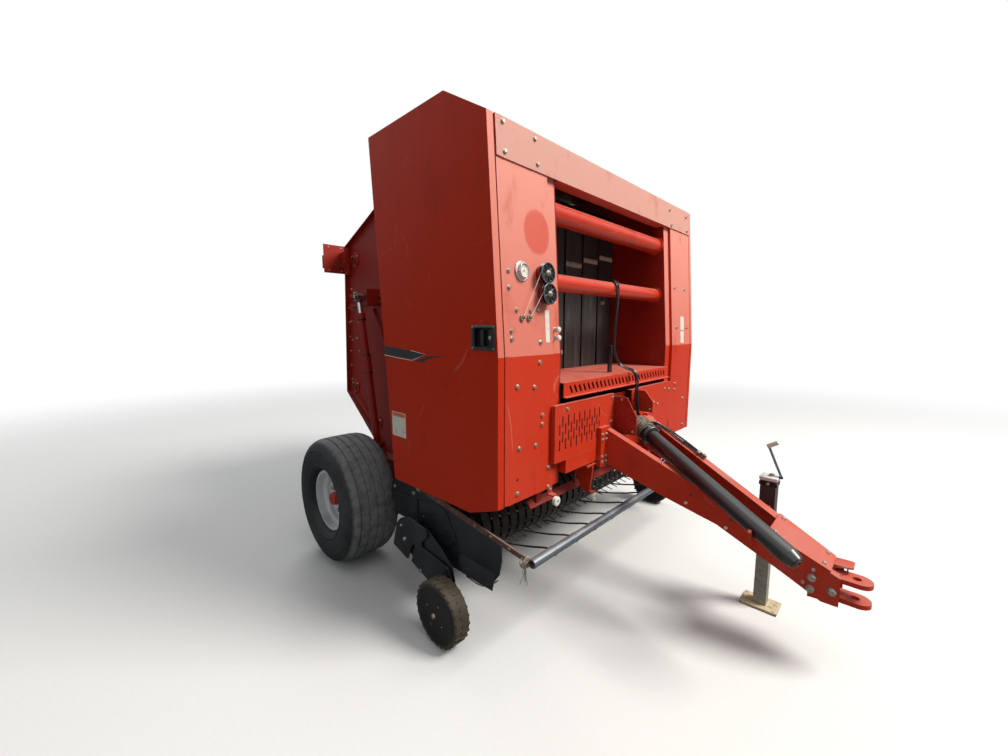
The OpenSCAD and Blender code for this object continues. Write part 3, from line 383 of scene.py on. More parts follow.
def make_finishes(c):
    """All finishes, by the name that the pieces ask for."""
    red, faded, deep, dust, rust = (tuple(v) for v in (c.red, c.faded, c.deep, c.dust, c.rust))
    charcoal, silver, rubber = (tuple(v) for v in (c.charcoal, c.silver, c.rubber))
    dark_rust = toned(rust, 0.6)
    # X, height and radius of the wheels, which stand on the ground
    wheel, gauge = ((at(x, y, z).x, z / 1000, z / 1000) for x, y, z in (WHEEL, GAUGE_WHEEL))

    def paint(name, colour, bleached, **weather):
        return painted(name, colour, bleached, dust, dark_rust, **weather)

    def steel(name, code, **wear):
        return bare_steel(name, linear(code), rust, dust, **wear)

    FINISHES.update({
        "red": paint("red_paint", red, faded, fade=0.05, dusty=0.4, shine=0.2),
        # High paints sky sheen on the columns above the crease
        "column": paint(
            "column_paint_and_sheen", red, faded, fade=0.06, high=0.85, dusty=0.3, chips=0.4, shine=0.15,
            spot=(-0.765, 1.893, 0.085, 0.095),
        ),
        # The beam's pale colour, fade and high paint sun glare and sky sheen on it, over some real fading
        "beam": paint(
            "beam_paint_and_sheen", red, linear("c99284"), fade=0.3, high=1.0, dusty=0.4, gloss=0.42, shine=0.2
        ),
        # High paints sky sheen on the shields' front faces above the crease
        "shield": paint(
            "shield_paint_and_sheen", red, faded, fade=0.01, high=0.8, dusty=0.12, chips=0.3, gloss=0.3, shine=0.1
        ),
        # Darker copy of the red paint, painted shade
        "deep": paint("shaded_red_paint", deep, red, fade=0.2, dusty=0.55, chips=0.7, gloss=0.4, shine=0.25),
        "tubes": paint("tube_paint", red, faded, fade=0.05, dusty=0.15, chips=0.3, gloss=0.2, shine=0.5),
        "tongue": paint(
            "tongue_paint", red, linear("cf7a66"), fade=0.04, dusty=0.4, chips=0.9, gloss=0.32, shine=0.2
        ),
        "charcoal": paint(
            "charcoal_paint", charcoal, toned(charcoal, 2.2), fade=0.1, dusty=0.25, chips=0.9, gloss=0.34,
            shine=0.35,
        ),
        "silver": painted(
            "silver_paint", silver, toned(silver, 1.2), dust, rust, fade=0.3, dusty=0.5, gloss=0.3
        ),
        "dark_steel": steel("dark_steel", "39342f", rusty=0.15, rough=0.3, grain=(1, 6, 6)),
        "steel": steel("grey_steel", "8f979f", rusty=-0.25, rough=0.24, grain=(8, 0.5, 8)),
        "rusty": steel("rusty_steel", "7d6c60", rusty=0.5, rough=0.6, metal=0.4),
        "zinc": steel("zinc_steel", "b3a997", rusty=0.05, rough=0.35),
        "chrome": steel("chrome", "c9cbcd", rusty=-0.5, rough=0.12, metal=1.0),
        "tyre": rubbery("tyre_rubber", rubber, linear("8a8b8c"), wheel, 0.95, 0.7),
        "gauge_rubber": rubbery("gauge_rubber", toned(rubber, 0.6), linear("6c5f4b"), gauge, 0.5, 0.55),
        "belt": belting("belt_rubber", tuple(c.belt), toned(dust, 0.5)),
        "plastic": rubbery("black_plastic", tuple(c.plastic), dust, None, 0.14, 0.3, 0.8),
        "lamp": lamp_lens("lamp_lens", tuple(c.lamp)),
        "label": enamel("blank_label", tuple(c.label), toned(dust, 0.7)),
        # The jack tube's dark colour is partly painted shade of its side
        "jack": painted(
            "jack_tube_shaded_paint", linear("3b3237"), linear("6a5a58"), dust, rust,
            fade=0.15, dusty=0.4, gloss=0.4,
        ),
        "leg": steel("jack_leg_steel", "a3a093", rusty=-0.2, rough=0.5, metal=0.3),
        "twine": rubbery("twine", linear("a89d8a"), dust, None, 0.8, 0.85),
        "tine": steel("spring_tines", "4a4440", rusty=0.35, rough=0.3),
        "disc": rubbery("gauge_disc", linear("101214"), dust, None, 0.12, 0.36),
        "foot": painted(
            "jack_foot_dirt", linear("bda985"), linear("d8c8a6"), dust, rust,
            fade=0.3, dusty=0.3, chips=0.3, gloss=0.6,
        ),
    })


# Which finish each CAD node takes
NODE_FINISH = {
    "column": ("column_right", "column_left", "twine_shelf", "slotted_shields"),
    "beam": ("top_beam",),
    "shield": ("shield_right", "shield_left"),
    "tubes": ("cross_tubes",),
    # Nodes in the darker red copy that paints shade
    "deep": (
        "chamber_wall_right", "chamber_wall_left", "roof_sheet", "feed_bar", "gearbox", "axle_beam",
        "frame_rails", "tailgate_side_right", "tailgate_side_left", "tailgate_beams",
        "cylinder_barrel_right", "cylinder_barrel_left", "tailgate_lamps",
    ),
    "tongue": ("tongue_rail_right", "tongue_rail_left", "tongue_plates", "hitch_clevis"),
    "charcoal": ("pickup_panels",),
    "silver": ("rim_right", "rim_left"),
    "dark_steel": ("pickup_strippers", "front_rollers", "tailgate_rollers", "pickup_reel"),
    "steel": ("windguard_tube",),
    "jack": ("jack_tube",),
    "leg": ("jack_leg",),
    "rusty": ("windguard_arms",),
    "zinc": ("twine_fittings",),
    "chrome": ("cylinder_rod_right", "cylinder_rod_left"),
    "tyre": ("tyre_right", "tyre_left"),
    "gauge_rubber": ("gauge_wheel_right", "gauge_wheel_left"),
    "belt": ("front_belts", "tailgate_belts"),
    "plastic": ("driveshaft_guard", "hydraulic_hose"),
}


class BALER_OT_finishes(bpy.types.Operator):
    """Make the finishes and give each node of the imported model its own"""

    bl_idname = "baler.finishes"
    bl_label = "Finishes"

    def execute(self, context):
        make_finishes(context.scene.baler_colours)
        for finish, nodes in NODE_FINISH.items():
            for name in nodes:
                mesh = NODES[name].data
                mesh.materials.clear()
                mesh.materials.append(FINISHES[finish])
        return {"FINISHED"}


# Meshes


def across(axis):
    """Two unit vectors across an axis."""
    side = axis.cross(Vector((0, 0, 1)) if abs(axis.z) < 0.9 else Vector((1, 0, 0))).normalized()
    return side, axis.cross(side)


def fan(angle, side=Vector((1, 0, 0)), up=Vector((0, 0, 1))):
    """Unit vector turned by an angle from side towards up."""
    return side * math.cos(angle) + up * math.sin(angle)


def around(count, start=0.0, side=Vector((1, 0, 0)), up=Vector((0, 0, 1))):
    """Unit vectors spread all round, the first turned by the start from side towards up."""
    return [fan(start + 2 * math.pi * k / count, side, up) for k in range(count)]


def smooth(points, steps=6):
    """Smooth curve through points."""
    points = [Vector(p) for p in points]
    made = []
    for i in range(len(points) - 1):
        a, b, c, d = points[max(i - 1, 0)], points[i], points[i + 1], points[min(i + 2, len(points) - 1)]
        for step in range(steps):
            t = step / steps
            bend = 2 * a - 5 * b + 4 * c - d
            twist = 3 * b - a - 3 * c + d
            made.append(0.5 * (2 * b + (c - a) * t + bend * t * t + twist * t ** 3))
    return made + [points[-1]]


def rounded_box(width, height, radius, steps=4):
    """Outline of a rectangle with round corners, as (across, up) from its middle."""
    outline = []
    for turn, (right, top) in enumerate(((1, 1), (-1, 1), (-1, -1), (1, -1))):
        for step in range(steps + 1):
            angle = math.pi / 2 * (turn + step / steps)
            outline.append((
                right * (width / 2 - radius) + radius * math.cos(angle),
                top * (height / 2 - radius) + radius * math.sin(angle),
            ))
    return outline


def mirrored(profile):
    """The other half of a profile, as (along the axis, radius)."""
    return [(-along, radius) for along, radius in reversed(profile)]


def collar(low, high, inner, outer):
    """Closed profile of a plain ring, as (along the axis, radius)."""
    return [(low, inner), (low, outer), (high, outer), (high, inner), (low, inner)]


class Shape:
    """A piece under construction, from points in the source's millimetres."""

    def __init__(self):
        self.points = []
        self.faces = []
        self.marks = []
        self.finishes = []

    def face(self, corners, finish):
        if finish not in self.finishes:
            self.finishes.append(finish)
        self.faces.append(corners)
        self.marks.append(self.finishes.index(finish))

    def skin(self, rings, finish, capped=True):
        """Faces between closed rings of points; capped closes both ends."""
        start = len(self.points)
        n = len(rings[0])
        for ring in rings:
            self.points.extend(ring)
        for i in range(len(rings) - 1):
            for k in range(n):
                a = start + i * n + k
                b = start + i * n + (k + 1) % n
                self.face((a, b, b + n, a + n), finish)
        if capped:
            last = start + (len(rings) - 1) * n
            self.face(tuple(range(start + n - 1, start - 1, -1)), finish)
            self.face(tuple(range(last, last + n)), finish)

    def turned(self, centre, axis, profile, finish, sides=24, capped=True, start=0.0):
        """Solid turned about an axis, from its profile as (along the axis, radius)."""
        centre, axis = Vector(centre), Vector(axis).normalized()
        spokes = around(sides, start, *across(axis))
        rings = [[centre + axis * along + spoke * radius for spoke in spokes] for along, radius in profile]
        self.skin(rings, finish, capped)

    def tube(self, path, radius, finish, sides=8):
        """Round rod, wire or hose along a path."""
        points = [Vector(p) for p in path]
        axis = (points[1] - points[0]).normalized()
        side = across(axis)[0]
        rings = []
        for i, point in enumerate(points):
            ahead = (points[min(i + 1, len(points) - 1)] - points[max(i - 1, 0)]).normalized()
            side.rotate(axis.rotation_difference(ahead))
            axis = ahead
            rings.append([point + spoke * radius for spoke in around(sides, 0, side, axis.cross(side))])
        self.skin(rings, finish)

    def wire(self, points, radius, finish, sides=6, steps=6):
        """Rod or wire bent smoothly through points."""
        self.tube(smooth(points, steps), radius, finish, sides)

    def ring(self, centre, axis, radius, thick, finish, sides=24, round_sides=8):
        """Round ring of a given thickness about an axis."""
        turns = [2 * math.pi * k / round_sides for k in range(round_sides + 1)]
        profile = [(thick * math.sin(a), radius + thick * math.cos(a)) for a in turns]
        self.turned(centre, axis, profile, finish, sides, capped=False)

    def slab(self, outline, depth, finish):
        """Flat piece with an outline of points, thickened along depth."""
        outline = [Vector(p) for p in outline]
        depth = Vector(depth)
        self.skin([outline, [p + depth for p in outline]], finish)

    def plate(self, centre, side, up, outline, depth, finish):
        """Flat piece with an outline as (across, up) about a centre."""
        centre, side, up = Vector(centre), Vector(side), Vector(up)
        self.slab([centre + side * a + up * b for a, b in outline], depth, finish)

    def panel(self, x, y, z, outline, depth, finish):
        """Upright plate in X and Z about a centre, thickened along Y."""
        self.plate((x, y, z), (1, 0, 0), (0, 0, 1), outline, (0, depth, 0), finish)

    def block(self, low, high, finish):
        corners = [(low[0], low[1]), (high[0], low[1]), (high[0], high[1]), (low[0], high[1])]
        self.slab([(x, y, low[2]) for x, y in corners], (0, 0, high[2] - low[2]), finish)

    def spoke(self, foot, axis, along, length, widths, thick, finish):
        """Flat spoke across an axis, from the half width at its foot to that at its end."""
        edge = axis.cross(along)
        near, far = edge * widths[0], edge * widths[1]
        end = foot + along * length
        self.slab([foot - near, foot + near, end + far, end - far], axis * thick, finish)

    def bolt(self, place, axis, width=17.0, finish="zinc", washer="zinc"):
        """Hexagon head on a washer."""
        place, axis = Vector(place), Vector(axis).normalized()
        if washer:
            rim = [(0, width * 0.66), (1.5, width * 0.66), (2.2, width * 0.61)]
            self.turned(place, axis, rim, washer, 20)
        corner = width / 2 / math.cos(math.pi / 6)
        head = [(1.5, corner), (width * 0.42, corner)]
        head += [(width * 0.5, corner * 0.88), (width * 0.51, corner * 0.5)]
        self.turned(place, axis, head, finish, 6, start=random.random() * math.pi)

    def bolts(self, places, axis, width, finish="zinc", washer="zinc"):
        """Like bolts at several places."""
        for place in places:
            self.bolt(place, axis, width, finish, washer)

    def side_bolts(self, s, y, spots, finish="zinc", washer="zinc"):
        """Bolts on an upright face at y on side s, as X, Z and width."""
        for x, z, width in spots:
            self.bolt((x, s * y, z), (0, s, 0), width, finish, washer)

    def dome(self, place, axis, finish, radius):
        """Round rivet or carriage bolt head."""
        profile = [(0, 1), (0.22, 0.94), (0.42, 0.7), (0.52, 0.25)]
        self.turned(place, axis, [(radius * along, radius * wide) for along, wide in profile], finish, 16)

    def made(self, name, body, angle=38):
        """The finished piece, riding on a body."""
        mesh = bpy.data.meshes.new(name)
        mesh.from_pydata([at(*p) for p in self.points], [], self.faces)
        for finish in self.finishes:
            mesh.materials.append(FINISHES[finish])
        mesh.polygons.foreach_set("material_index", self.marks)
        work = bmesh.new()
        work.from_mesh(mesh)
        bmesh.ops.remove_doubles(work, verts=work.verts, dist=0.00001)
        bmesh.ops.recalc_face_normals(work, faces=work.faces)
        work.to_mesh(mesh)
        work.free()
        mesh.shade_smooth()
        mesh.set_sharp_from_angle(angle=math.radians(angle))
        piece = bpy.data.objects.new(name, mesh)
        bpy.context.scene.collection.objects.link(piece)
        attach(piece, body)
        return piece


SIDES = (("right", -1), ("left", 1))
ASIDE = Vector((0, 1, 0))

# The columns' front face: its crease and its lean below and above the crease
FRONT_X = 1381
CREASE_Z = 1357
LEAN_BELOW = -3 / 642
LEAN = 63 / 955
COLUMN_IN = 677
COLUMN_OUT = 980
FOLD_OUT = 1002

SHIELD_Y = 1043
WALL_Y = 607
SHELF_Z = 1214

# Middles of the left wheels, of the reel and of the jack
WHEEL = (0, 1052, 394)
GAUGE_WHEEL = (1084, 1120, 155)
REEL = (930, 0, 430)
JACK = (2100, 234)

# The tongue's rails close in and fall towards the hitch
RAIL_Y = 260.2
RAIL_X = 1420
RAIL_CLOSING = 0.1791
TONGUE_FALL = 0.497


def column_face(y, z, out=0.2):
    """A point on the columns' front face, and the direction out of it."""
    above = z > CREASE_Z
    x = FRONT_X - (z - CREASE_Z) * (LEAN if above else LEAN_BELOW)
    axis = Vector((1, 0, LEAN if above else 0)).normalized()
    return Vector((x, y, z)) + axis * out, axis


def rail_side(s, x, z):
    """A point on the outer side of a tongue rail."""
    return Vector((x, s * (RAIL_Y - RAIL_CLOSING * (x - RAIL_X)), z))


class BALER_OT_tyres(bpy.types.Operator):
    """Ribbed tyres with shallow grooves, notched shoulders and ringed side walls"""

    bl_idname = "baler.tyres"
    bl_label = "Tyres"

    def profile(self, angle, notch):
        """The tyre's section at an angle, as (along the axle, radius)."""
        waves, sway = 42, 1.8
        tread = []
        for groove, top in ((-104, 389), (-52, 392), (0, 392), (52, 392), (104, 389)):
            middle = groove + sway * math.sin(angle * waves)
            deep = top - 8
            tread += [(middle - 5.5, top), (middle - 3.5, deep), (middle + 3.5, deep), (middle + 5.5, top)]
        wall = [
            (128, 383 - notch * 0.3), (144, 374 - notch), (156, 360 - notch), (163, 344), (167, 329),
            (169, 327), (169, 322), (168, 320), (170, 300), (168, 270), (163, 250), (160, 237), (162, 235),
            (162, 229), (159, 226), (152, 212), (140, 206), (118, 199), (118, 182),
        ]
        inner = [(90, 182), (90, 202), (128, 242), (136, 304), (110, 350)]
        return mirrored(wall) + tread + wall + inner + mirrored(inner)

    def execute(self, context):
        steps = 168
        notch = 4.0
        x, y, z = WHEEL
        for name, s in SIDES:
            rings = []
            for k in range(steps + 1):
                a = 2 * math.pi * k / steps
                across, up = math.cos(a), math.sin(a)
                profile = self.profile(a, notch if k % 4 == 0 else 0.0)
                rings.append([Vector((x + r * across, s * (y + along), z + r * up)) for along, r in profile])
            shape = Shape()
            shape.skin(rings, "tyre", capped=False)
            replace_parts(shape.made("ribbed_tyre_" + name, "wheel_" + name, 30), "tyre_" + name)
        return {"FINISHED"}


class BALER_OT_hubs(bpy.types.Operator):
    """Hub caps, wheel nuts and valves on the rims"""

    bl_idname = "baler.hubs"
    bl_label = "Hubs"

    def execute(self, context):
        cap = [(82.3, 44), (84.5, 44), (86, 39.2), (103, 38.6), (105.6, 35), (106.6, 28), (107, 8)]
        valve = [(0, 7), (3, 7), (5, 4.2), (24, 3.6), (26, 4.6), (36, 4.6), (37, 3)]
        nut_circle, valve_circle = 84, 110
        for name, s in SIDES:
            shape = Shape()
            axis = Vector((0, s, 0))
            hub = Vector((WHEEL[0], s * WHEEL[1], WHEEL[2]))
            disc = hub + axis * 58.2
            shape.turned(hub, axis, cap, "red", 40)
            nuts = [disc + spoke * nut_circle for spoke in around(6, math.pi / 6)]
            shape.bolts(nuts, axis, 24, "zinc", "rusty")
            shape.turned(disc + Vector((0.5, 0, 0.87)) * valve_circle, axis, valve, "plastic", 12)
            shape.made("hub_fittings_" + name, "wheel_" + name)
        return {"FINISHED"}


class BALER_OT_twine_guides(bpy.types.Operator):
    """Pressure gauge, spoked pulleys, ring pins with their wires, guides and eyelets"""

    bl_idname = "baler.twine_guides"
    bl_label = "Gauge and twine guides"

    def gauge(self, shape):
        place, axis = column_face(-879, 1714)
        up = axis.cross(ASIDE)
        rim = [(0, 43), (4, 43), (5.5, 41.5), (6, 33), (10, 31), (17, 31)]
        rim += [(19.5, 29.5), (19.5, 27), (15, 25.5)]
        shape.turned(place, axis, rim, "chrome", 48, capped=False)
        shape.turned(place, axis, [(4, 40), (6.4, 40.4), (6.4, 33)], "label", 48, capped=False)
        shape.turned(place, axis, [(14.5, 25.8), (15, 25.6)], "label", 48)
        # Marks and needle of the dial
        for k in range(11):
            along = fan(math.radians(220 - 26 * k), ASIDE, up)
            length = 8 if k % 5 == 0 else 5
            foot = place + axis * 15.2 + along * (23.5 - length)
            shape.spoke(foot, axis, along, length, (0.8, 0.8), 0.3, "plastic")
        along = fan(math.radians(205), ASIDE, up)
        edge = axis.cross(along) * 1.6
        middle = place + axis * 16
        foot = middle - along * 6
        shape.slab([foot - edge, foot + edge, middle + along * 19], axis * 0.5, "lamp")
        shape.turned(place + axis * 15, axis, [(0, 3), (2.4, 3), (2.8, 1.5)], "zinc", 12)
        for along in around(3, math.pi / 2, ASIDE, up):
            shape.dome(place + axis * 6 + along * 37.5, axis, "zinc", 3.2)

    def pulley(self, shape, place, axis):
        # The drum behind the pulley is in the darker red that paints shade
        shape.turned(place, axis, [(0, 38), (26, 38), (28, 34)], "deep", 32)
        wheel = [
            (24, 20), (24, 44), (26, 47), (28, 47), (31, 38), (36, 38), (39, 47), (41, 47.5), (43, 46.5),
            (43, 41), (37, 39), (37, 12),
        ]
        shape.turned(place, axis, wheel, "plastic", 40)
        shape.ring(place + axis * 42, axis, 46.3, 1.3, "steel", 40, 6)
        for along in around(9, 0, ASIDE, axis.cross(ASIDE)):
            shape.spoke(place + axis * 37 + along * 12, axis, along, 27, (2.6, 1.6), 4.5, "plastic")
        shape.turned(place + axis * 37, axis, [(0, 14), (6, 13), (8, 11)], "zinc", 20)
        shape.bolt(place + axis * 44, axis, 13)

    def ring_pin(self, shape, pin, pulley, axis):
        """A pin with a hollow end, and the wire from it to its pulley."""
        shape.turned(pin, axis, [(0, 14), (7, 14), (10, 12.5), (10, 9), (3, 8)], "zinc", 24)
        # A black disc at the bottom of the pin's hollow: painted shade
        shape.turned(pin, axis, [(3.2, 8.2), (3.6, 8)], "plastic", 24)
        start = pulley + axis * 33 + Vector((0, -35, 12))
        end = pin + axis * 9
        shape.wire([start, start.lerp(end, 0.5) + axis * 2, end], 1.3, "label")

    def eyelet(self, shape, place):
        spool = [(0, 8), (0, 19), (2.5, 23), (7, 23), (10, 18.5)]
        spool += [(20 - along, radius) for along, radius in reversed(spool[:-1])] + [(10, 6.5), (0, 8)]
        shape.turned(place, (1, 0, 0), spool, "label", 32, capped=False)

    def execute(self, context):
        shape = Shape()
        self.gauge(shape)
        # Pulley's Y and Z, then its ring pin's
        for y, z, pin_y, pin_z in ((-747, 1712, -889, 1519), (-739, 1623, -844, 1520)):
            place, axis = column_face(y, z)
            self.pulley(shape, place, axis)
            self.ring_pin(shape, column_face(pin_y, pin_z)[0], place, axis)
        guide = [(0, 9), (2, 12), (9, 13), (12, 10.5), (29, 10.5), (32, 13), (38, 12), (41, 8)]
        for z in (1468, 1430):
            place, axis = column_face(22 - COLUMN_IN, z, -16)
            shape.turned(place, axis, guide, "label", 24)

        # Eyelets under the right column and beside the right gusset, with their brackets
        eye_y = 4 - COLUMN_IN
        self.eyelet(shape, (FRONT_X + 14, eye_y, 652))
        self.eyelet(shape, (FRONT_X + 4, -318, 566))
        bracket = [(-20, -17), (8, -17), (17, -9), (17, 9), (8, 17), (-20, 17)]
        shape.slab([(FRONT_X + a, eye_y + b, 675) for a, b in bracket], (0, 0, 6), "tongue")
        shape.block((FRONT_X - 20, eye_y - 17, 681), (FRONT_X - 14, eye_y + 17, 714.7), "tongue")
        shape.bolt((FRONT_X - 14, eye_y, 700), (1, 0, 0), 13)
        bracket = [(-41, -339), (8, -339), (18, -328), (18, -306), (8, -300), (-41, -300)]
        shape.slab([(FRONT_X + a, y, 588) for a, y in bracket], (0, 0, 6), "tongue")
        shape.block((FRONT_X - 41, -339, 594), (FRONT_X - 5, -334, 649), "tongue")
        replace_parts(shape.made("gauge_and_twine_guides", "frame"), "twine_fittings")
        return {"FINISHED"}


# Bolts on the front faces of the columns and of the top beam, as Y and Z
COLUMN_BOLTS = (
    (-960, 1709), (-960, 1642), (-958, 1464), (-958, 1431), (-920, 1551), (-832, 1550), (-780, 1555),
    (-771, 1413), (-780, 1324), (-928, 1229), (-815, 1217), (-756, 1082), (-756, 1039), (-913, 957),
    (-801, 949), (-923, 755), (-707, 823), (-705, 726), (731, 1753), (908, 1752), (751, 1478), (932, 1478),
    (751, 1082), (751, 1039), (915, 957), (930, 755), (705, 726),
)
BEAM_BOLTS = (
    (-748, 2182), (-761, 2284), (-960, 2290), (-955, 2176), (654, 2265), (680, 2169), (945, 2270),
    (955, 2172),
)
BEAM_OUT = 6


class BALER_OT_bolts(bpy.types.Operator):
    """Bolts of the columns, the top beam, the slotted shields and the tongue, and the frame's thin trim"""

    bl_idname = "baler.bolts"
    bl_label = "Frame bolts and trim"

    def folds(self, shape):
        """Folded outer edge of each column and of the top beam, up to the side shields."""
        inner = COLUMN_OUT - 0.5
        for s in (-1, 1):
            for low, high, out in ((717, CREASE_Z, 0), (CREASE_Z, 2151, 0), (2151, 2311, BEAM_OUT)):
                low, high = low + 1, high - 0.5
                corners = ((inner, low), (FOLD_OUT, low), (FOLD_OUT, high), (inner, high))
                outline = [column_face(s * y, z, out)[0] for y, z in corners]
                shape.slab(outline, (-14, 0, 0), "beam" if out else "column")

    def trim(self, shape):
        """Sleeve on the shelf's post, folded top edge of the slotted shields, flap behind the roof."""
        shape.block((1284.4, -24.6, SHELF_Z + 1), (1297.6, 6.6, SHELF_Z + 161), "plastic")
        for low, high in ((-690, -147), (96, 596)):
            shape.block((1384, low, 1112.2), (1406, high, 1115), "column")
        # The rubber flap's ears lie over the chamber walls and are shorter than its middle
        thick = 5
        flap = smooth([(622, 0, 2431), (560, 0, 2441), (500, 0, 2449), (452, 0, 2448)], 5)
        for low, high, rings in ((-590, 590, 16), (-640, -590, 6), (590, 640, 6)):
            corners = ((low, 0), (high, 0), (high, thick), (low, thick))
            shape.skin([[p + Vector((0, y, t)) for y, t in corners] for p in flap[:rings]], "belt")
        # A thin black disc on the right column stands for a hole: painted shade in place of its depth
        hole, axis = column_face(-922, 818)
        shape.turned(hole, axis, [(0, 7), (0.4, 6.5)], "plastic", 16)

    def rail(self, shape, s):
        """Bolts, plugs and rings on the side of a rail, and the strap under the driveshaft's hook."""
        turn = math.atan2(-182, 1016)
        axis = Vector((-math.sin(turn), s * math.cos(turn), 0))
        heads = ((2341, 408, 26), (2338, 356, 26), (2411, 368, 26), (2344, 445, 13), (2312, 378, 12))
        for x, z, head in heads:
            shape.bolt(rail_side(s, x, z), axis, head, "zinc", "steel")
        for x, z in ((1833, 620), (2010, 540)):
            place = rail_side(s, x, z)
            shape.dome(place, axis, "label", 8)
            # Beside each plug, a thin black disc stands for a hole: painted shade
            shape.turned(place + Vector((20, -s * 3.6, 45)), axis, [(0, 8), (0.5, 7)], "plastic", 20)
        for x, z in ((2187, 452), (2272, 404)):
            grommet = [(0, 17), (1.2, 16.5), (1.5, 15), (0.8, 13), (0.8, 6)]
            shape.turned(rail_side(s, x, z), axis, grommet, "tongue", 28)
        top = 947.9 + TONGUE_FALL * RAIL_X
        for x, y in ((2196, 88), (2376, 58)):
            shape.bolt((x, s * y, top - TONGUE_FALL * x), (TONGUE_FALL, 0, 1), 14, "zinc", "steel")
        strap = ((2124, 590), (2121, 535), (2128, 487), (2146, 449))
        shape.wire([rail_side(s, x, z) + axis * 3 for x, z in strap], 4.2, "tongue", 8, 4)

    def execute(self, context):
        width = context.scene.baler_sizes.bolt * 1000
        shape = Shape()
        for spots, out in ((COLUMN_BOLTS, 0.2), (BEAM_BOLTS, BEAM_OUT + 0.2)):
            for y, z in spots:
                shape.bolt(*column_face(y, z, out), width * 0.82)
        self.folds(shape)
        self.trim(shape)

        # Slotted shields, their guard plate and the rails' flanges
        ahead = Vector((1, 0, 0))
        slotted = (
            (-593, 1090), (-168, 1094), (-177, 963), (592, 1061), (524, 1072), (417, 981), (358, 1000),
        )
        shape.bolts([(1405.2, y, z) for y, z in slotted], ahead, width * 0.7)
        guard = ((1500, 1003), (1420, 1000), (1420, 1096))
        shape.bolts([(x, 95.8, z) for x, z in guard], -ASIDE, width * 0.6)
        guard = ((1520, 915), (1450, 1085), (1385, 1085), (1385, 900))
        shape.bolts([(x, -146.2, z) for x, z in guard], -ASIDE, width * 0.6)
        for s in (-1, 1):
            flange = [(1428.2, s * y, z) for z in (911, 883, 790, 762) for y in (262, 299)]
            shape.bolts(flange, ahead, width * 0.75)
        shape.made("frame_bolts", "frame")

        shape = Shape()
        for s in (-1, 1):
            self.rail(shape, s)
        shape.made("tongue_bolts", "frame")
        return {"FINISHED"}


class BALER_OT_labels(bpy.types.Operator):
    """Blank labels on the columns and the side shields, and the plain stripe"""

    bl_idname = "baler.labels"
    bl_label = "Blank labels and stripe"

    def execute(self, context):
        shape = Shape()
        # Middle Y and Z, width, height
        for y, z, width, height in ((-717, 1484, 30, 145), (859, 1510, 62, 96), (855, 1411, 62, 84)):
            place, axis = column_face(y, z, 0.1)
            shape.plate(place, ASIDE, axis.cross(ASIDE), rounded_box(width, height, 4), axis * 0.5, "label")
        shape.made("blank_column_labels", "frame")

        stripe = [
            (516, 1384), (600, 1375), (712, 1367), (765, 1364), (889, 1350), (773, 1315), (640, 1322),
            (512, 1331),
        ]
        tail = [
            (794, 1313), (866, 1331), (916, 1343), (980, 1347), (1060, 1346), (975, 1341), (916, 1331),
            (866, 1311),
        ]
        pale_edge = stripe[:2:-1]
        for name, s in SIDES:
            out = s * (SHIELD_Y + 0.1)
            shape = Shape()
            shape.panel(634, out, 964, rounded_box(130, 132, 5), s * 0.5, "label")
            shape.panel(634, out, 1016, rounded_box(118, 20, 2), s * 0.8, "lamp")
            for outline in (stripe, tail):
                shape.slab([(x, out, z) for x, z in outline], (0, s * 0.5, 0), "plastic")
            shape.tube([(x, out + s * 0.3, z) for x, z in pale_edge], 2.0, "label", 6)
            shape.made("blank_shield_label_" + name, "shield_" + name)
        return {"FINISHED"}


class BALER_OT_latches(bpy.types.Operator):
    """Latch frames and handles in the side shields"""

    bl_idname = "baler.latches"
    bl_label = "Shield latches"

    def execute(self, context):
        # Width, height, corner and distance out of the shield of each ring
        rings = (
            (142, 104, 8, -1), (142, 104, 8, 2.5), (138, 100, 7, 4), (120, 82, 5, 4), (112, 76, 4, 0),
            (108, 74, 4, -22),
        )
        handle = [(-30, -30), (-14, -34), (-14, 34), (-30, 30)]
        x, z = 1294.5, 1436
        for name, s in SIDES:
            shape = Shape()
            middle = Vector((x, s * SHIELD_Y, z))
            shape.skin([
                [middle + Vector((a, s * out, b)) for a, b in rounded_box(width, height, corner)]
                for width, height, corner, out in rings
            ], "plastic", capped=False)
            shape.panel(x, s * (SHIELD_Y - 22.6), z, rounded_box(110, 76, 4), s * 0.4, "plastic")
            shape.panel(x + 8, s * (SHIELD_Y - 20), z, handle, s * 14, "plastic")
            pin = middle + Vector((24, -s * 22, 0))
            shape.turned(pin, (0, s, 0), [(0, 9), (8, 9), (10, 7)], "zinc", 16)
            for a, b in rounded_box(*rings[0][:3])[2::5]:
                shape.dome(middle + Vector((a * 0.93, s * 3.6, b * 0.9)), (0, s, 0), "zinc", 3.4)
            shape.made("shield_latch_" + name, "shield_" + name)
        return {"FINISHED"}


# The hoses' way over the lower cross tube and down to the left rail
HOSE_ROUTE = (
    (1206, 30, 1620), (1207, 29, 1660), (1212.4, 28, 1700), (1219.9, 26, 1727.8), (1240.2, 23, 1748.2),
    (1268, 19, 1755.6), (1295.8, 14, 1748.2), (1316.1, 8, 1727.8), (1324, 1, 1698), (1326, -8, 1620),
    (1322, -14, 1520), (1316, -13, 1420), (1315, 0, 1330), (1334, 30, 1262), (1372, 50, 1238),
    (1414, 60, 1222), (1430, 64, 1170), (1432, 66, 1100), (1436, 70, 1020), (1446, 80, 960),
    (1470, 120, 926), (1510, 180, 908), (1560, 205, 882.5), (1640, 192, 843), (1720, 178, 803.5),
    (1800, 163, 764),
)


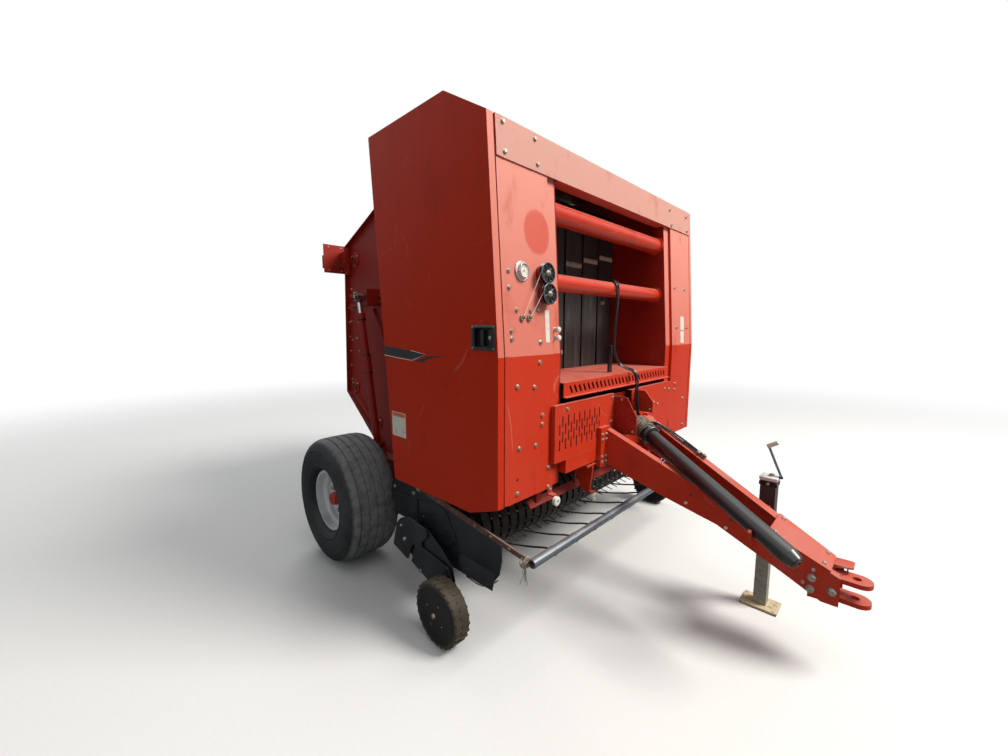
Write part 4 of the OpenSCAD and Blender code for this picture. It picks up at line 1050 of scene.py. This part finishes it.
class BALER_OT_hoses(bpy.types.Operator):
    """Two hoses and a cable over the lower cross tube and down beside the driveshaft"""

    bl_idname = "baler.hoses"
    bl_label = "Hoses"

    def execute(self, context):
        middle = smooth(HOSE_ROUTE, 4)
        shape = Shape()
        # Radius, distance from the middle, angle at the start
        for radius, off, turn in ((4.8, 6.4, 0.0), (4.8, 6.4, math.pi), (3.0, 8.2, math.pi / 2)):
            strand = []
            for i, point in enumerate(middle):
                ahead = (middle[min(i + 1, len(middle) - 1)] - middle[max(i - 1, 0)]).normalized()
                side = ahead.cross(Vector((0, 1, 0.02))).normalized()
                twist = turn + i * 0.09 + 0.5 * math.sin(i * 0.21)
                strand.append(point + fan(twist, side, ahead.cross(side)) * off)
            shape.tube(strand, radius, "plastic")
            ferrule = [(-4, radius + 0.8), (-4, radius + 1.6), (16, radius + 1.6), (18, radius + 0.4)]
            for end, inner in ((strand[0], strand[2]), (strand[-1], strand[-3])):
                shape.turned(end, inner - end, ferrule, "zinc", 12)
        for i in (14, 34, 52, 70, 84, 94):
            ahead = middle[i + 1] - middle[i - 1]
            shape.turned(middle[i], ahead, collar(-3, 3, 11, 12.4), "plastic", 16, capped=False)
        clamp = middle[-3]
        shape.turned(clamp, middle[-1] - clamp, collar(-9, 9, 11, 13.6), "zinc", 20, capped=False)
        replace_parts(shape.made("hose_bundle", "frame"), "hydraulic_hose")
        return {"FINISHED"}


class BALER_OT_driveshaft(bpy.types.Operator):
    """Twine wound round the driveshaft's boot, its collar, and the yoke in its open end"""

    bl_idname = "baler.driveshaft"
    bl_label = "Driveshaft fittings"

    def winding(self, shape, start, axis):
        """One long strand of twine wound over the rest."""
        radius, turns, pitch, steps = 54, 5.4, 12, 14
        path = []
        for k in range(int(turns * steps) + 1):
            out = fan(2 * math.pi * k / steps, *across(axis))
            path.append(start + axis * (pitch * k / steps) + out * radius)
        shape.tube(path, 1.8, "twine", 5)

    def execute(self, context):
        rear = Vector((1470, 0, 932))
        front = Vector((2320, -360, 580))
        axis = (front - rear).normalized()
        shape = Shape()
        for k, along in enumerate((6, 16, 24, 33, 46, 58, 64, 75, 88, 97)):
            tilt = Vector([random.uniform(-0.09, 0.09) for _ in range(3)])
            thick = random.uniform(1.6, 2.6)
            shape.ring(rear + axis * along, axis + tilt, 53.2 + k % 3 * 0.8, thick, "twine", 28, 6)
        self.winding(shape, rear + axis * 20, (axis + Vector((0.12, 0.05, 0.1))).normalized())
        boot = [(0, 38.4), (0, 55), (6, 56), (20, 56), (26, 52), (30, 41), (30, 38.4)]
        shape.turned(rear + axis * 104, axis, boot, "plastic", 36, capped=False)
        for along in around(4, 0.4, *across(axis)):
            shape.bolt(rear + axis * 117 + along * 55.6, along, 9, "zinc", None)
        end = front - axis
        shape.turned(end, axis, [(2.2, 27), (3.4, 26.6), (3.4, 22), (-14, 21.5), (-14, 4)], "plastic", 32)
        shape.turned(end, axis, [(-12, 16), (5, 16), (7, 14), (7, 11), (1, 10)], "rusty", 20)
        shape.made("driveshaft_fittings", "frame")
        return {"FINISHED"}


class BALER_OT_hitch(bpy.types.Operator):
    """Hinged latch plate with its wire clip, and the jack's crank, cap and foot"""

    bl_idname = "baler.hitch"
    bl_label = "Hitch latch and jack"

    def latch(self):
        shape = Shape()
        plate = [
            (2386, 14, 441), (2386, 92, 441), (2398, 97, 441), (2460, 92, 446), (2470, 82, 447),
            (2470, 22, 447), (2460, 14, 446),
        ]
        shape.slab(plate, (0, 0, 6), "tongue")
        shape.turned((2400, 8, 437), ASIDE, [(0, 6), (90, 6)], "tongue", 16)
        shape.block((2392, 12, 421.2), (2410, 40, 436), "tongue")
        clip = [
            (2392, -24, 421.8), (2405, -30, 452), (2430, -26, 462), (2448, -8, 458), (2452, 6, 440),
            (2452, 10, 424),
        ]
        shape.wire(clip, 2.6, "rusty", 8)
        # Wire hooks over the right rail's top edge, as X from their start, Y, and Z from their start
        hook = ((0, -203, 2), (4, -176, 16), (14, -160, -6), (18, -162, -70), (10, -180, -84))
        for x, z in ((1700, 798), (1712, 790)):
            shape.wire([(x + a, y, z + b) for a, y, b in hook], 2.2, "steel")
        shape.made("hitch_latch", "frame")

    def crank(self):
        shape = Shape()
        x, y = JACK
        cap = [(rounded_box(w, w, 5, 3), z) for w, z in ((79, 698), (82, 700), (82, 714.5), (76, 717))]
        shape.skin([[Vector((x + a, y + b, z)) for a, b in outline] for outline, z in cap], "silver")
        # Two thin silver strips on the tube's corner: a painted highlight of its lit galvanised edge
        shape.block((x + 22, y + 35.1, 560), (x + 36.2, y + 36.3, 700), "silver")
        shape.block((x + 35.1, y + 22, 560), (x + 36.3, y + 36.2, 700), "silver")
        shape.block((x - 40, y - 40, 672), (x + 40, y + 40, 690), "dark_steel")
        shape.bolt((x, y - 40.2, 681), -ASIDE, 12)
        for p, q in (((20, 710), (56, 718)), ((52, 712), (-16, 872)), ((-17, 869), (-8, 876))):
            shape.tube([(x + p[0], y, p[1]), (x + q[0], y, q[1])], 6.2, "steel", 12)
        grip = [(-4, 6), (-4, 10.8), (0, 11.4), (44, 11.4), (49, 10.4), (51, 6)]
        shape.turned((x - 18, y, 870), (40, 0, 26), grip, "label", 20)
        shape.turned((x + 8, y, 714), (0, 0, 1), [(0, 16), (5, 16), (7, 12), (15, 11), (16, 8)], "zinc", 20)
        shape.made("jack_cap_and_crank", "frame")

    def foot(self):
        shape = Shape()
        x, y = JACK
        sheet = rounded_box(172, 128, 16, 5)
        heights = ((0.2, 0.975), (1.5, 1), (11, 1), (13.2, 0.975))
        shape.skin([[Vector((x + a * k, y + b * k, z)) for a, b in sheet] for z, k in heights], "foot")
        for s in (-1, 1):
            for radius in (24, 12):
                shape.ring((x + s * 56, y, 13.2), (0, 0, 1), radius, 3.2, "foot", 28, 8)
        shape.turned((x, y, 13), (0, 0, 1), [(0, 44), (2, 43), (3, 40), (3, 30)], "foot", 32)
        for a in (-70, 70):
            for b in (-48, 48):
                shape.dome((x + a, y + b, 13), (0, 0, 1), "foot", 8)
        shape.made("jack_foot", "jack_leg")

    def execute(self, context):
        self.latch()
        self.crank()
        self.foot()
        return {"FINISHED"}


class BALER_OT_windguard(bpy.types.Operator):
    """Open tube with curved rods, and twine wound round its right end"""

    bl_idname = "baler.windguard"
    bl_label = "Windguard"

    def execute(self, context):
        shape = Shape()
        x, z = 1529, 522
        wall = [(-1000, 16.5), (-1000, 20), (1000, 20), (1000, 16.5)]
        shape.turned((x, 0, z), ASIDE, wall, "steel", 32, capped=False)
        shape.turned((x, 0, z), ASIDE, [(-999.8, 16.6), (999.8, 16.6)], "rusty", 32, capped=False)
        rod = ((1511, 524), (1469, 514), (1400, 491), (1320, 470), (1250, 455), (1216, 449))
        for y in (-855, -697, -539, -381, -190, 0, 190, 381, 539, 697, 855):
            shape.wire([(a, y, b) for a, b in rod], 4.6, "dark_steel", 8, 3)
            shape.ring((x, y, z), ASIDE, 20.5, 2.0, "steel", 24, 5)
        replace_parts(shape.made("windguard_rods", "windguard"), "windguard_tube")

        shape = Shape()
        for s in (-1, 1):
            bolts = [(a, 626 - 0.1344 * (a - 735), 12) for a in (1180, 1290, 1400)]
            shape.side_bolts(s, 998.2, bolts, "rusty")
        for _ in range(9):
            off = Vector((random.uniform(-16, 16), random.uniform(-2, 3), random.uniform(-6, 6)))
            tilt = Vector((1, random.uniform(-0.35, 0.35), random.uniform(-0.5, 0.1)))
            radius, thick = random.uniform(17, 22), random.uniform(1.6, 2.4)
            shape.ring(Vector((1492, -997, 512)) + off, tilt, radius, thick, "twine", 20, 5)
        for k in range(6):
            y = -1000 + random.uniform(-6, 6)
            loose = (1494 + random.uniform(-8, 8), y - 4, 470)
            end = (1490 + random.uniform(-20, 20), y + random.uniform(-12, 12), 440 - k * 6)
            shape.wire([(1492, y, 498), loose, end], 1.5, "twine", 5)
        shape.made("windguard_twine", "windguard")
        return {"FINISHED"}


class BALER_OT_reel(bpy.types.Operator):
    """Reel with spring tines coiled on its bars"""

    bl_idname = "baler.reel"
    bl_label = "Pickup reel"

    def tine(self, shape, middle, out, back):
        """A coil round the bar that ends in a long curved tine, and the nut that holds it."""
        coil = []
        for step in range(19):
            turn = fan(2 * math.pi * step / 8, out, back)
            coil.append(middle + ASIDE * (step * 0.72 - 7.5) + turn * 15.4)
        # Along the bar, back and out
        bends = ((6.5, 15.4, 4), (4, 14, 22), (1, 8, 70), (0, 1, 113))
        end = smooth([middle + ASIDE * y + back * b + out * a for y, b, a in bends], 3)
        shape.tube(coil + end, 2.9, "tine", 6)
        shape.dome(middle - back * 11, -back, "zinc", 6)

    def execute(self, context):
        shape = Shape()
        hub = Vector(REEL)
        disc = [(-4, 25), (-4, 134), (-3, 135), (3, 135), (4, 134), (4, 25)]
        shape.turned(hub, ASIDE, [(-973, 25), (973, 25)], "dark_steel", 24)
        for y in (-946, 0, 946):
            shape.turned(hub + ASIDE * y, ASIDE, disc, "dark_steel", 40)
        for k in range(4):
            turn = math.radians(90 * k + 20)
            out = Vector((math.cos(turn), 0, -math.sin(turn)))
            back = Vector((-math.sin(turn), 0, -math.cos(turn)))
            bar = hub + out * 120
            shape.turned(bar, ASIDE, [(-950, 12), (950, 12)], "dark_steel", 14)
            for i in range(-12, 13):
                self.tine(shape, bar + ASIDE * (i * 66), out, back)
        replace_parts(shape.made("reel_with_tines", "reel"), "pickup_reel")
        return {"FINISHED"}


class BALER_OT_pickup(bpy.types.Operator):
    """Bolts, skid shoes and dark inner plates (partly painted shade) of the pickup's end panels, and the
    gauge wheels' discs
    """

    bl_idname = "baler.pickup"
    bl_label = "Pickup fittings"

    def panel(self, shape, s):
        arm = ((686, 343, 20), (652, 409, 13), (824, 218, 14), (1040, 160, 12))
        shape.side_bolts(s, 1059.2, arm, "zinc", "steel")
        shape.side_bolts(s, 980.2, ((665, 572, 18), (470, 560, 14)), "zinc", "steel")
        side = ((951, 467, 12), (760, 470, 12), (860, 520, 12), (640, 520, 12), (520, 430, 12))
        shape.side_bolts(s, 987.2, side, "charcoal", "charcoal")
        # Skid shoe under the front of the end panel
        shoe = ((1100, 279), (1140, 274), (1180, 273), (1215, 279), (1245, 291), (1270, 306))
        corners = ((984, -1), (930, -1), (930, -6), (984, -6))
        shape.skin([[Vector((x, s * y, z + t)) for y, t in corners] for x, z in shoe], "rusty")
        # Inner plate of the gauge wheel's arm: a dark sheet that fills the gap behind the arm, where the
        # panel's inner side lies in shade, so partly painted shade
        inner = (
            (640, 300), (735, 256), (900, 206), (1040, 168), (1092, 240), (1070, 330), (985, 392),
            (905, 436), (870, 452), (726, 463), (640, 430),
        )
        shape.slab([(x, s * 1040, z) for x, z in inner], (0, s * 4, 0), "charcoal")
        # Pivot of the windguard
        pivot = [(0, 12.4), (0, 19), (2, 19), (2.4, 12), (4, 10), (4.4, 6)]
        shape.turned((735, s * 1003, 628), (0, s, 0), pivot, "zinc", 24)

    def disc(self, shape, s):
        hub = Vector((GAUGE_WHEEL[0], s * GAUGE_WHEEL[1], GAUGE_WHEEL[2]))
        axis = Vector((0, s, 0))
        disc = [(36, 134), (39, 135), (42, 133), (44.5, 126), (45.5, 105), (46.4, 60), (46.8, 20)]
        shape.turned(hub, axis, disc, "disc", 64)
        for k, spoke in enumerate(around(8, 0.3)):
            shape.dome(hub + axis * 45 + spoke * 110, axis, "disc", 5)
            if k % 2:
                shape.dome(hub + axis * 46 + spoke * 62, axis, "steel", 4)
        shape.turned(hub + axis * 46.6, axis, [(0, 15), (2, 15), (2.6, 13)], "disc", 28)
        shape.bolt(hub + axis * 48, axis, 19)

    def execute(self, context):
        shape = Shape()
        for s in (-1, 1):
            self.panel(shape, s)
        shape.made("pickup_bolts", "pickup")
        for name, s in SIDES:
            shape = Shape()
            self.disc(shape, s)
            shape.made("gauge_disc_" + name, "gauge_wheel_" + name)
        return {"FINISHED"}


class BALER_OT_belts(bpy.types.Operator):
    """Laced splices of the belts and the bearings' bolts"""

    bl_idname = "baler.belts"
    bl_label = "Belt splices and bearings"

    def execute(self, context):
        shape = Shape()
        # Middle of a belt and height of its splice
        for y, z in ((99, 1885), (297, 1929), (495, 1968), (-99, 1320), (-297, 1240), (-495, 1590)):
            for k in range(20):
                bends = ((946.2, -15), (948.4, -12), (948.4, 12), (946.2, 15))
                shape.tube([(x, y - 83 + 8.7 * k, z + up) for x, up in bends], 2.2, "label", 5)
            shape.tube([(947.5, y - 88, z), (947.5, y + 88, z)], 1.8, "label", 6)
        shape.made("belt_splices", "frame")

        shape = Shape()
        for s in (-1, 1):
            for x, z in ((885, 1000), (885, 2215), (1020, 868), (630, 650)):
                bearing = Vector((x, s * (WALL_Y + 26.2), z))
                shape.bolts([bearing + spoke * 46 for spoke in around(4, math.pi / 4)], (0, s, 0), 13)
                shape.turned(bearing, (0, s, 0), [(0, 33), (3, 33), (5, 30), (5, 20.5)], "dark_steel", 28)
        shape.made("bearing_bolts", "frame")
        return {"FINISHED"}


class BALER_OT_tailgate(bpy.types.Operator):
    """Lamp lenses, bolts and bearing flanges of the tailgate"""

    bl_idname = "baler.tailgate"
    bl_label = "Tailgate fittings"

    def lamps(self):
        shape = Shape()
        lens = ((0, 1.02), (6, 1.02), (30, 0.96), (40, 0.86))
        edge = rounded_box(110, 100, 14)
        wire = (
            (-815, 700, 1990), (-800, 690, 1975), (-770, 676, 1968), (-740, 660, 1985), (-716, 648, 2000),
        )
        for s in (-1, 1):
            middle = Vector((-821.2, s * 720, 2000))
            rings = [[middle + Vector((-out, a * k, b * k)) for a, b in edge] for out, k in lens]
            shape.skin(rings, "lamp")
            shape.wire([(x, s * y, z) for x, y, z in wire], 3, "plastic")
            for z in (1935, 2115):
                for y in (640, 740):
                    shape.bolt((-815.8, s * y, z), (1, 0, 0), 10)
                    shape.bolt((-822.2, s * y, z), (-1, 0, 0), 10)
        shape.made("lamp_lenses", "tailgate")

    def sides(self):
        shape = Shape()
        spots = [(-723, 1787), (-722, 1629), (-743, 1532), (-662, 1393), (-738, 1377), (-629, 1290)]
        spots += [(-520, 1335)] + [(-778, 1050 + 118 * k) for k in range(9)]
        flange = [(0, 60), (5, 60), (7, 56), (9, 34), (16, 32), (18, 29), (18, 18.6)]
        for s in (-1, 1):
            shape.side_bolts(s, WALL_Y + 0.2, [(x, z, 14) for x, z in spots])
            for x, z in ((300, 2292), (-640, 2012), (-712, 1000), (-370, 745), (330, 610)):
                # Bearing flanges in the darker red that paints shade
                shape.turned((x, s * (WALL_Y + 0.2), z), (0, s, 0), flange, "deep", 32)
                middle = Vector((x, s * (WALL_Y + 6), z))
                shape.bolts([middle + spoke * 46 for spoke in around(3, 0.5)], (0, s, 0), 12)
            hinge = [(0, 36), (3, 36), (4, 34), (4, 25.4)]
            shape.turned((470, s * (WALL_Y + 20.5), 2300), (0, s, 0), hinge, "zinc", 32)
        shape.made("tailgate_bolts", "tailgate")

    def execute(self, context):
        self.lamps()
        self.sides()
        return {"FINISHED"}


class BALER_OT_cylinders(bpy.types.Operator):
    """Ports, bands and pipes on the barrels of the tailgate's cylinders, and the eyes of their rods"""

    bl_idname = "baler.cylinders"
    bl_label = "Cylinder fittings"

    def execute(self, context):
        along = Vector((-195, 0, 1060)).normalized()
        away = Vector((-along.z, 0, along.x))
        boss = [(27, 13.4), (27, 24), (30, 24), (31, 22), (31, 13.4)]
        nut = [(0, 18.4), (0, 24), (14, 24), (16, 21), (16, 18.4)]
        for name, s in SIDES:
            shape = Shape()
            foot = Vector((-130, s * 752, 640))
            for t, reach in ((92, 25), (600, 28), (900, 24)):
                port = [(reach - 3, 11), (reach + 10, 11), (reach + 12, 9), (reach + 22, 9)]
                shape.turned(foot + along * t, away, port, "zinc", 6)
            band = collar(0, 9, 29, 31.5)
            for t in (520, 648, 905):
                shape.turned(foot + along * t, along, band, "dark_steel", 32, capped=False)
            pipe = ((92, 46), (120, 52), (300, 50), (560, 50), (600, 44))
            shape.wire([foot + along * t + away * off for t, off in pipe], 5.5, "plastic", 8)
            shape.made("cylinder_fittings_" + name, "barrel_" + name)

            shape = Shape()
            eye = Vector((-325, s * 752, 1700))
            for side in (-1, 1):
                shape.turned(eye, (0, side, 0), boss, "plastic", 24, capped=False)
            shape.turned(eye - along * 44, along, nut, "plastic", 6, capped=False)
            pin = ((0, 12), (6, 26), (-10, 30), (-4, -18))
            shape.wire([eye + Vector((x, s * 34, z)) for x, z in pin], 2.2, "zinc")
            shape.made("rod_eye_" + name, "rod_" + name)
        return {"FINISHED"}


# Stage


class BALER_OT_stage(bpy.types.Operator):
    """Set up the pale floor, the sky, the soft lamps and the camera"""

    bl_idname = "baler.stage"
    bl_label = "Stage"

    def floor(self, colour):
        f = Finish("studio_floor")
        x, y, _ = f.split(f.place)
        away = f.band((x * x + y * y) ** 0.5, 3.5, 11.0)
        seen = f.node("ShaderNodeLightPath", {}, {}, "Is Camera Ray")
        # Paler to the camera than to the light that it sends back, as gravel would
        pale = f.mix(colour, toned(colour, 0.94), f.noise(60, 3))
        f.done(base_color=f.mix(toned(colour, 0.3), pale, seen), roughness=0.8)
        glow = f.node("ShaderNodeEmission", {}, {"Color": (1, 1, 1), "Strength": 1.0})
        ground = Value(f, f.shader.outputs[0])
        both = f.node("ShaderNodeMixShader", {}, {0: away * seen, 1: ground, 2: glow})
        f.feed(f.tree.nodes["Material Output"].inputs["Surface"], both)
        bpy.ops.mesh.primitive_circle_add(vertices=96, radius=40, fill_type="NGON")
        floor = bpy.context.object
        floor.name = "studio_floor"
        floor.data.materials.append(f.material)

    def sky(self, scene):
        """White to the camera; reflections see a sky that is brighter overhead, as outdoors."""
        world = bpy.data.worlds.new("studio")
        world.use_nodes = True
        scene.world = world
        n = Nodes(world.node_tree)
        height = n.split(n.node("ShaderNodeTexCoord", {}, {}, "Generated"))[2]
        seen = n.node("ShaderNodeLightPath", {}, {}, "Is Camera Ray")
        rays = seen.output.node.outputs
        through, mirror = (Value(n, rays[ray]) for ray in ("Is Transmission Ray", "Is Glossy Ray"))
        sky = n.tree.nodes["Background"]
        n.feed(sky.inputs["Color"], (0.93, 0.96, 1.0))
        n.feed(sky.inputs["Strength"], 0.27 + mirror * (n.band(height, -0.1, 0.6) * 0.75 - 0.12))
        white = n.node("ShaderNodeBackground", {}, {"Color": (1, 1, 1)})
        clear = seen.most(through)
        both = n.node("ShaderNodeMixShader", {}, {0: clear, 1: Value(n, sky.outputs[0]), 2: white})
        n.feed(n.tree.nodes["World Output"].inputs["Surface"], both)

    def lamps(self, scene):
        # Name, place, power, size, colour
        lamps = (
            ("key_lamp", (7.5, 3.5, 9.5), 1750, 4.5, (1.0, 0.97, 0.92)),
            ("fill_lamp", (1.5, -9.0, 4.0), 50, 6.0, (0.93, 0.96, 1.0)),
            ("top_lamp", (2.5, -0.5, 7.0), 90, 5.0, (1.0, 1.0, 1.0)),
            ("back_lamp", (-6.0, 1.0, 6.0), 160, 4.0, (1.0, 1.0, 1.0)),
        )
        middle = Vector((0, 0, 1.1))
        for name, place, power, size, colour in lamps:
            lamp = bpy.data.lights.new(name, "AREA")
            lamp.energy = power
            lamp.shape = "DISK"
            lamp.size = size
            lamp.color = colour
            holder = bpy.data.objects.new(name, lamp)
            holder.location = place
            holder.rotation_euler = (middle - Vector(place)).to_track_quat("-Z", "Y").to_euler()
            scene.collection.objects.link(holder)

    def camera(self, scene):
        """The place, direction and lens that were fitted to the photograph."""
        camera = bpy.data.cameras.new("camera")
        camera.lens = scene.baler_sizes.camera_lens
        camera.sensor_width = 36
        camera.sensor_fit = "HORIZONTAL"
        camera.clip_end = 200
        view = bpy.data.objects.new("camera", camera)
        view.location = (1.7105, -2.222, 1.477)
        view.rotation_euler = (math.pi / 2 - 0.120, 0, 0.767)
        scene.collection.objects.link(view)
        scene.camera = view

    def execute(self, context):
        scene = context.scene
        scene.view_settings.view_transform = "Standard"
        self.floor(tuple(scene.baler_colours.floor))
        self.sky(scene)
        self.lamps(scene)
        self.camera(scene)
        return {"FINISHED"}


class BALER_PT_panel(bpy.types.Panel):
    """Sizes, colours and pieces of the round baler"""

    bl_idname = "BALER_PT_panel"
    bl_label = "Round baler"
    bl_space_type = "VIEW_3D"
    bl_region_type = "UI"
    bl_category = "Baler"

    def draw(self, context):
        for group in (context.scene.baler_sizes, context.scene.baler_colours):
            for name in group.__annotations__:
                self.layout.prop(group, name)
        for operator in OPERATORS:
            self.layout.operator(operator.bl_idname)


OPERATORS = (
    BALER_OT_stage, BALER_OT_finishes, BALER_OT_tyres, BALER_OT_hubs, BALER_OT_twine_guides,
    BALER_OT_bolts, BALER_OT_labels, BALER_OT_latches, BALER_OT_hoses, BALER_OT_driveshaft,
    BALER_OT_hitch, BALER_OT_windguard, BALER_OT_reel, BALER_OT_pickup, BALER_OT_belts,
    BALER_OT_tailgate, BALER_OT_cylinders,
)
CLASSES = (BalerColours, BalerSizes, *OPERATORS, BALER_PT_panel)


def register():
    for made in CLASSES:
        bpy.utils.register_class(made)
    bpy.types.Scene.baler_colours = PointerProperty(type=BalerColours)
    bpy.types.Scene.baler_sizes = PointerProperty(type=BalerSizes)


def unregister():
    del bpy.types.Scene.baler_sizes
    del bpy.types.Scene.baler_colours
    for made in reversed(CLASSES):
        bpy.utils.unregister_class(made)


def main():
    random.seed(7)
    register()
    for operator in OPERATORS:
        group, name = operator.bl_idname.split(".")
        getattr(getattr(bpy.ops, group), name)()


if __name__ == "__main__":
    main()
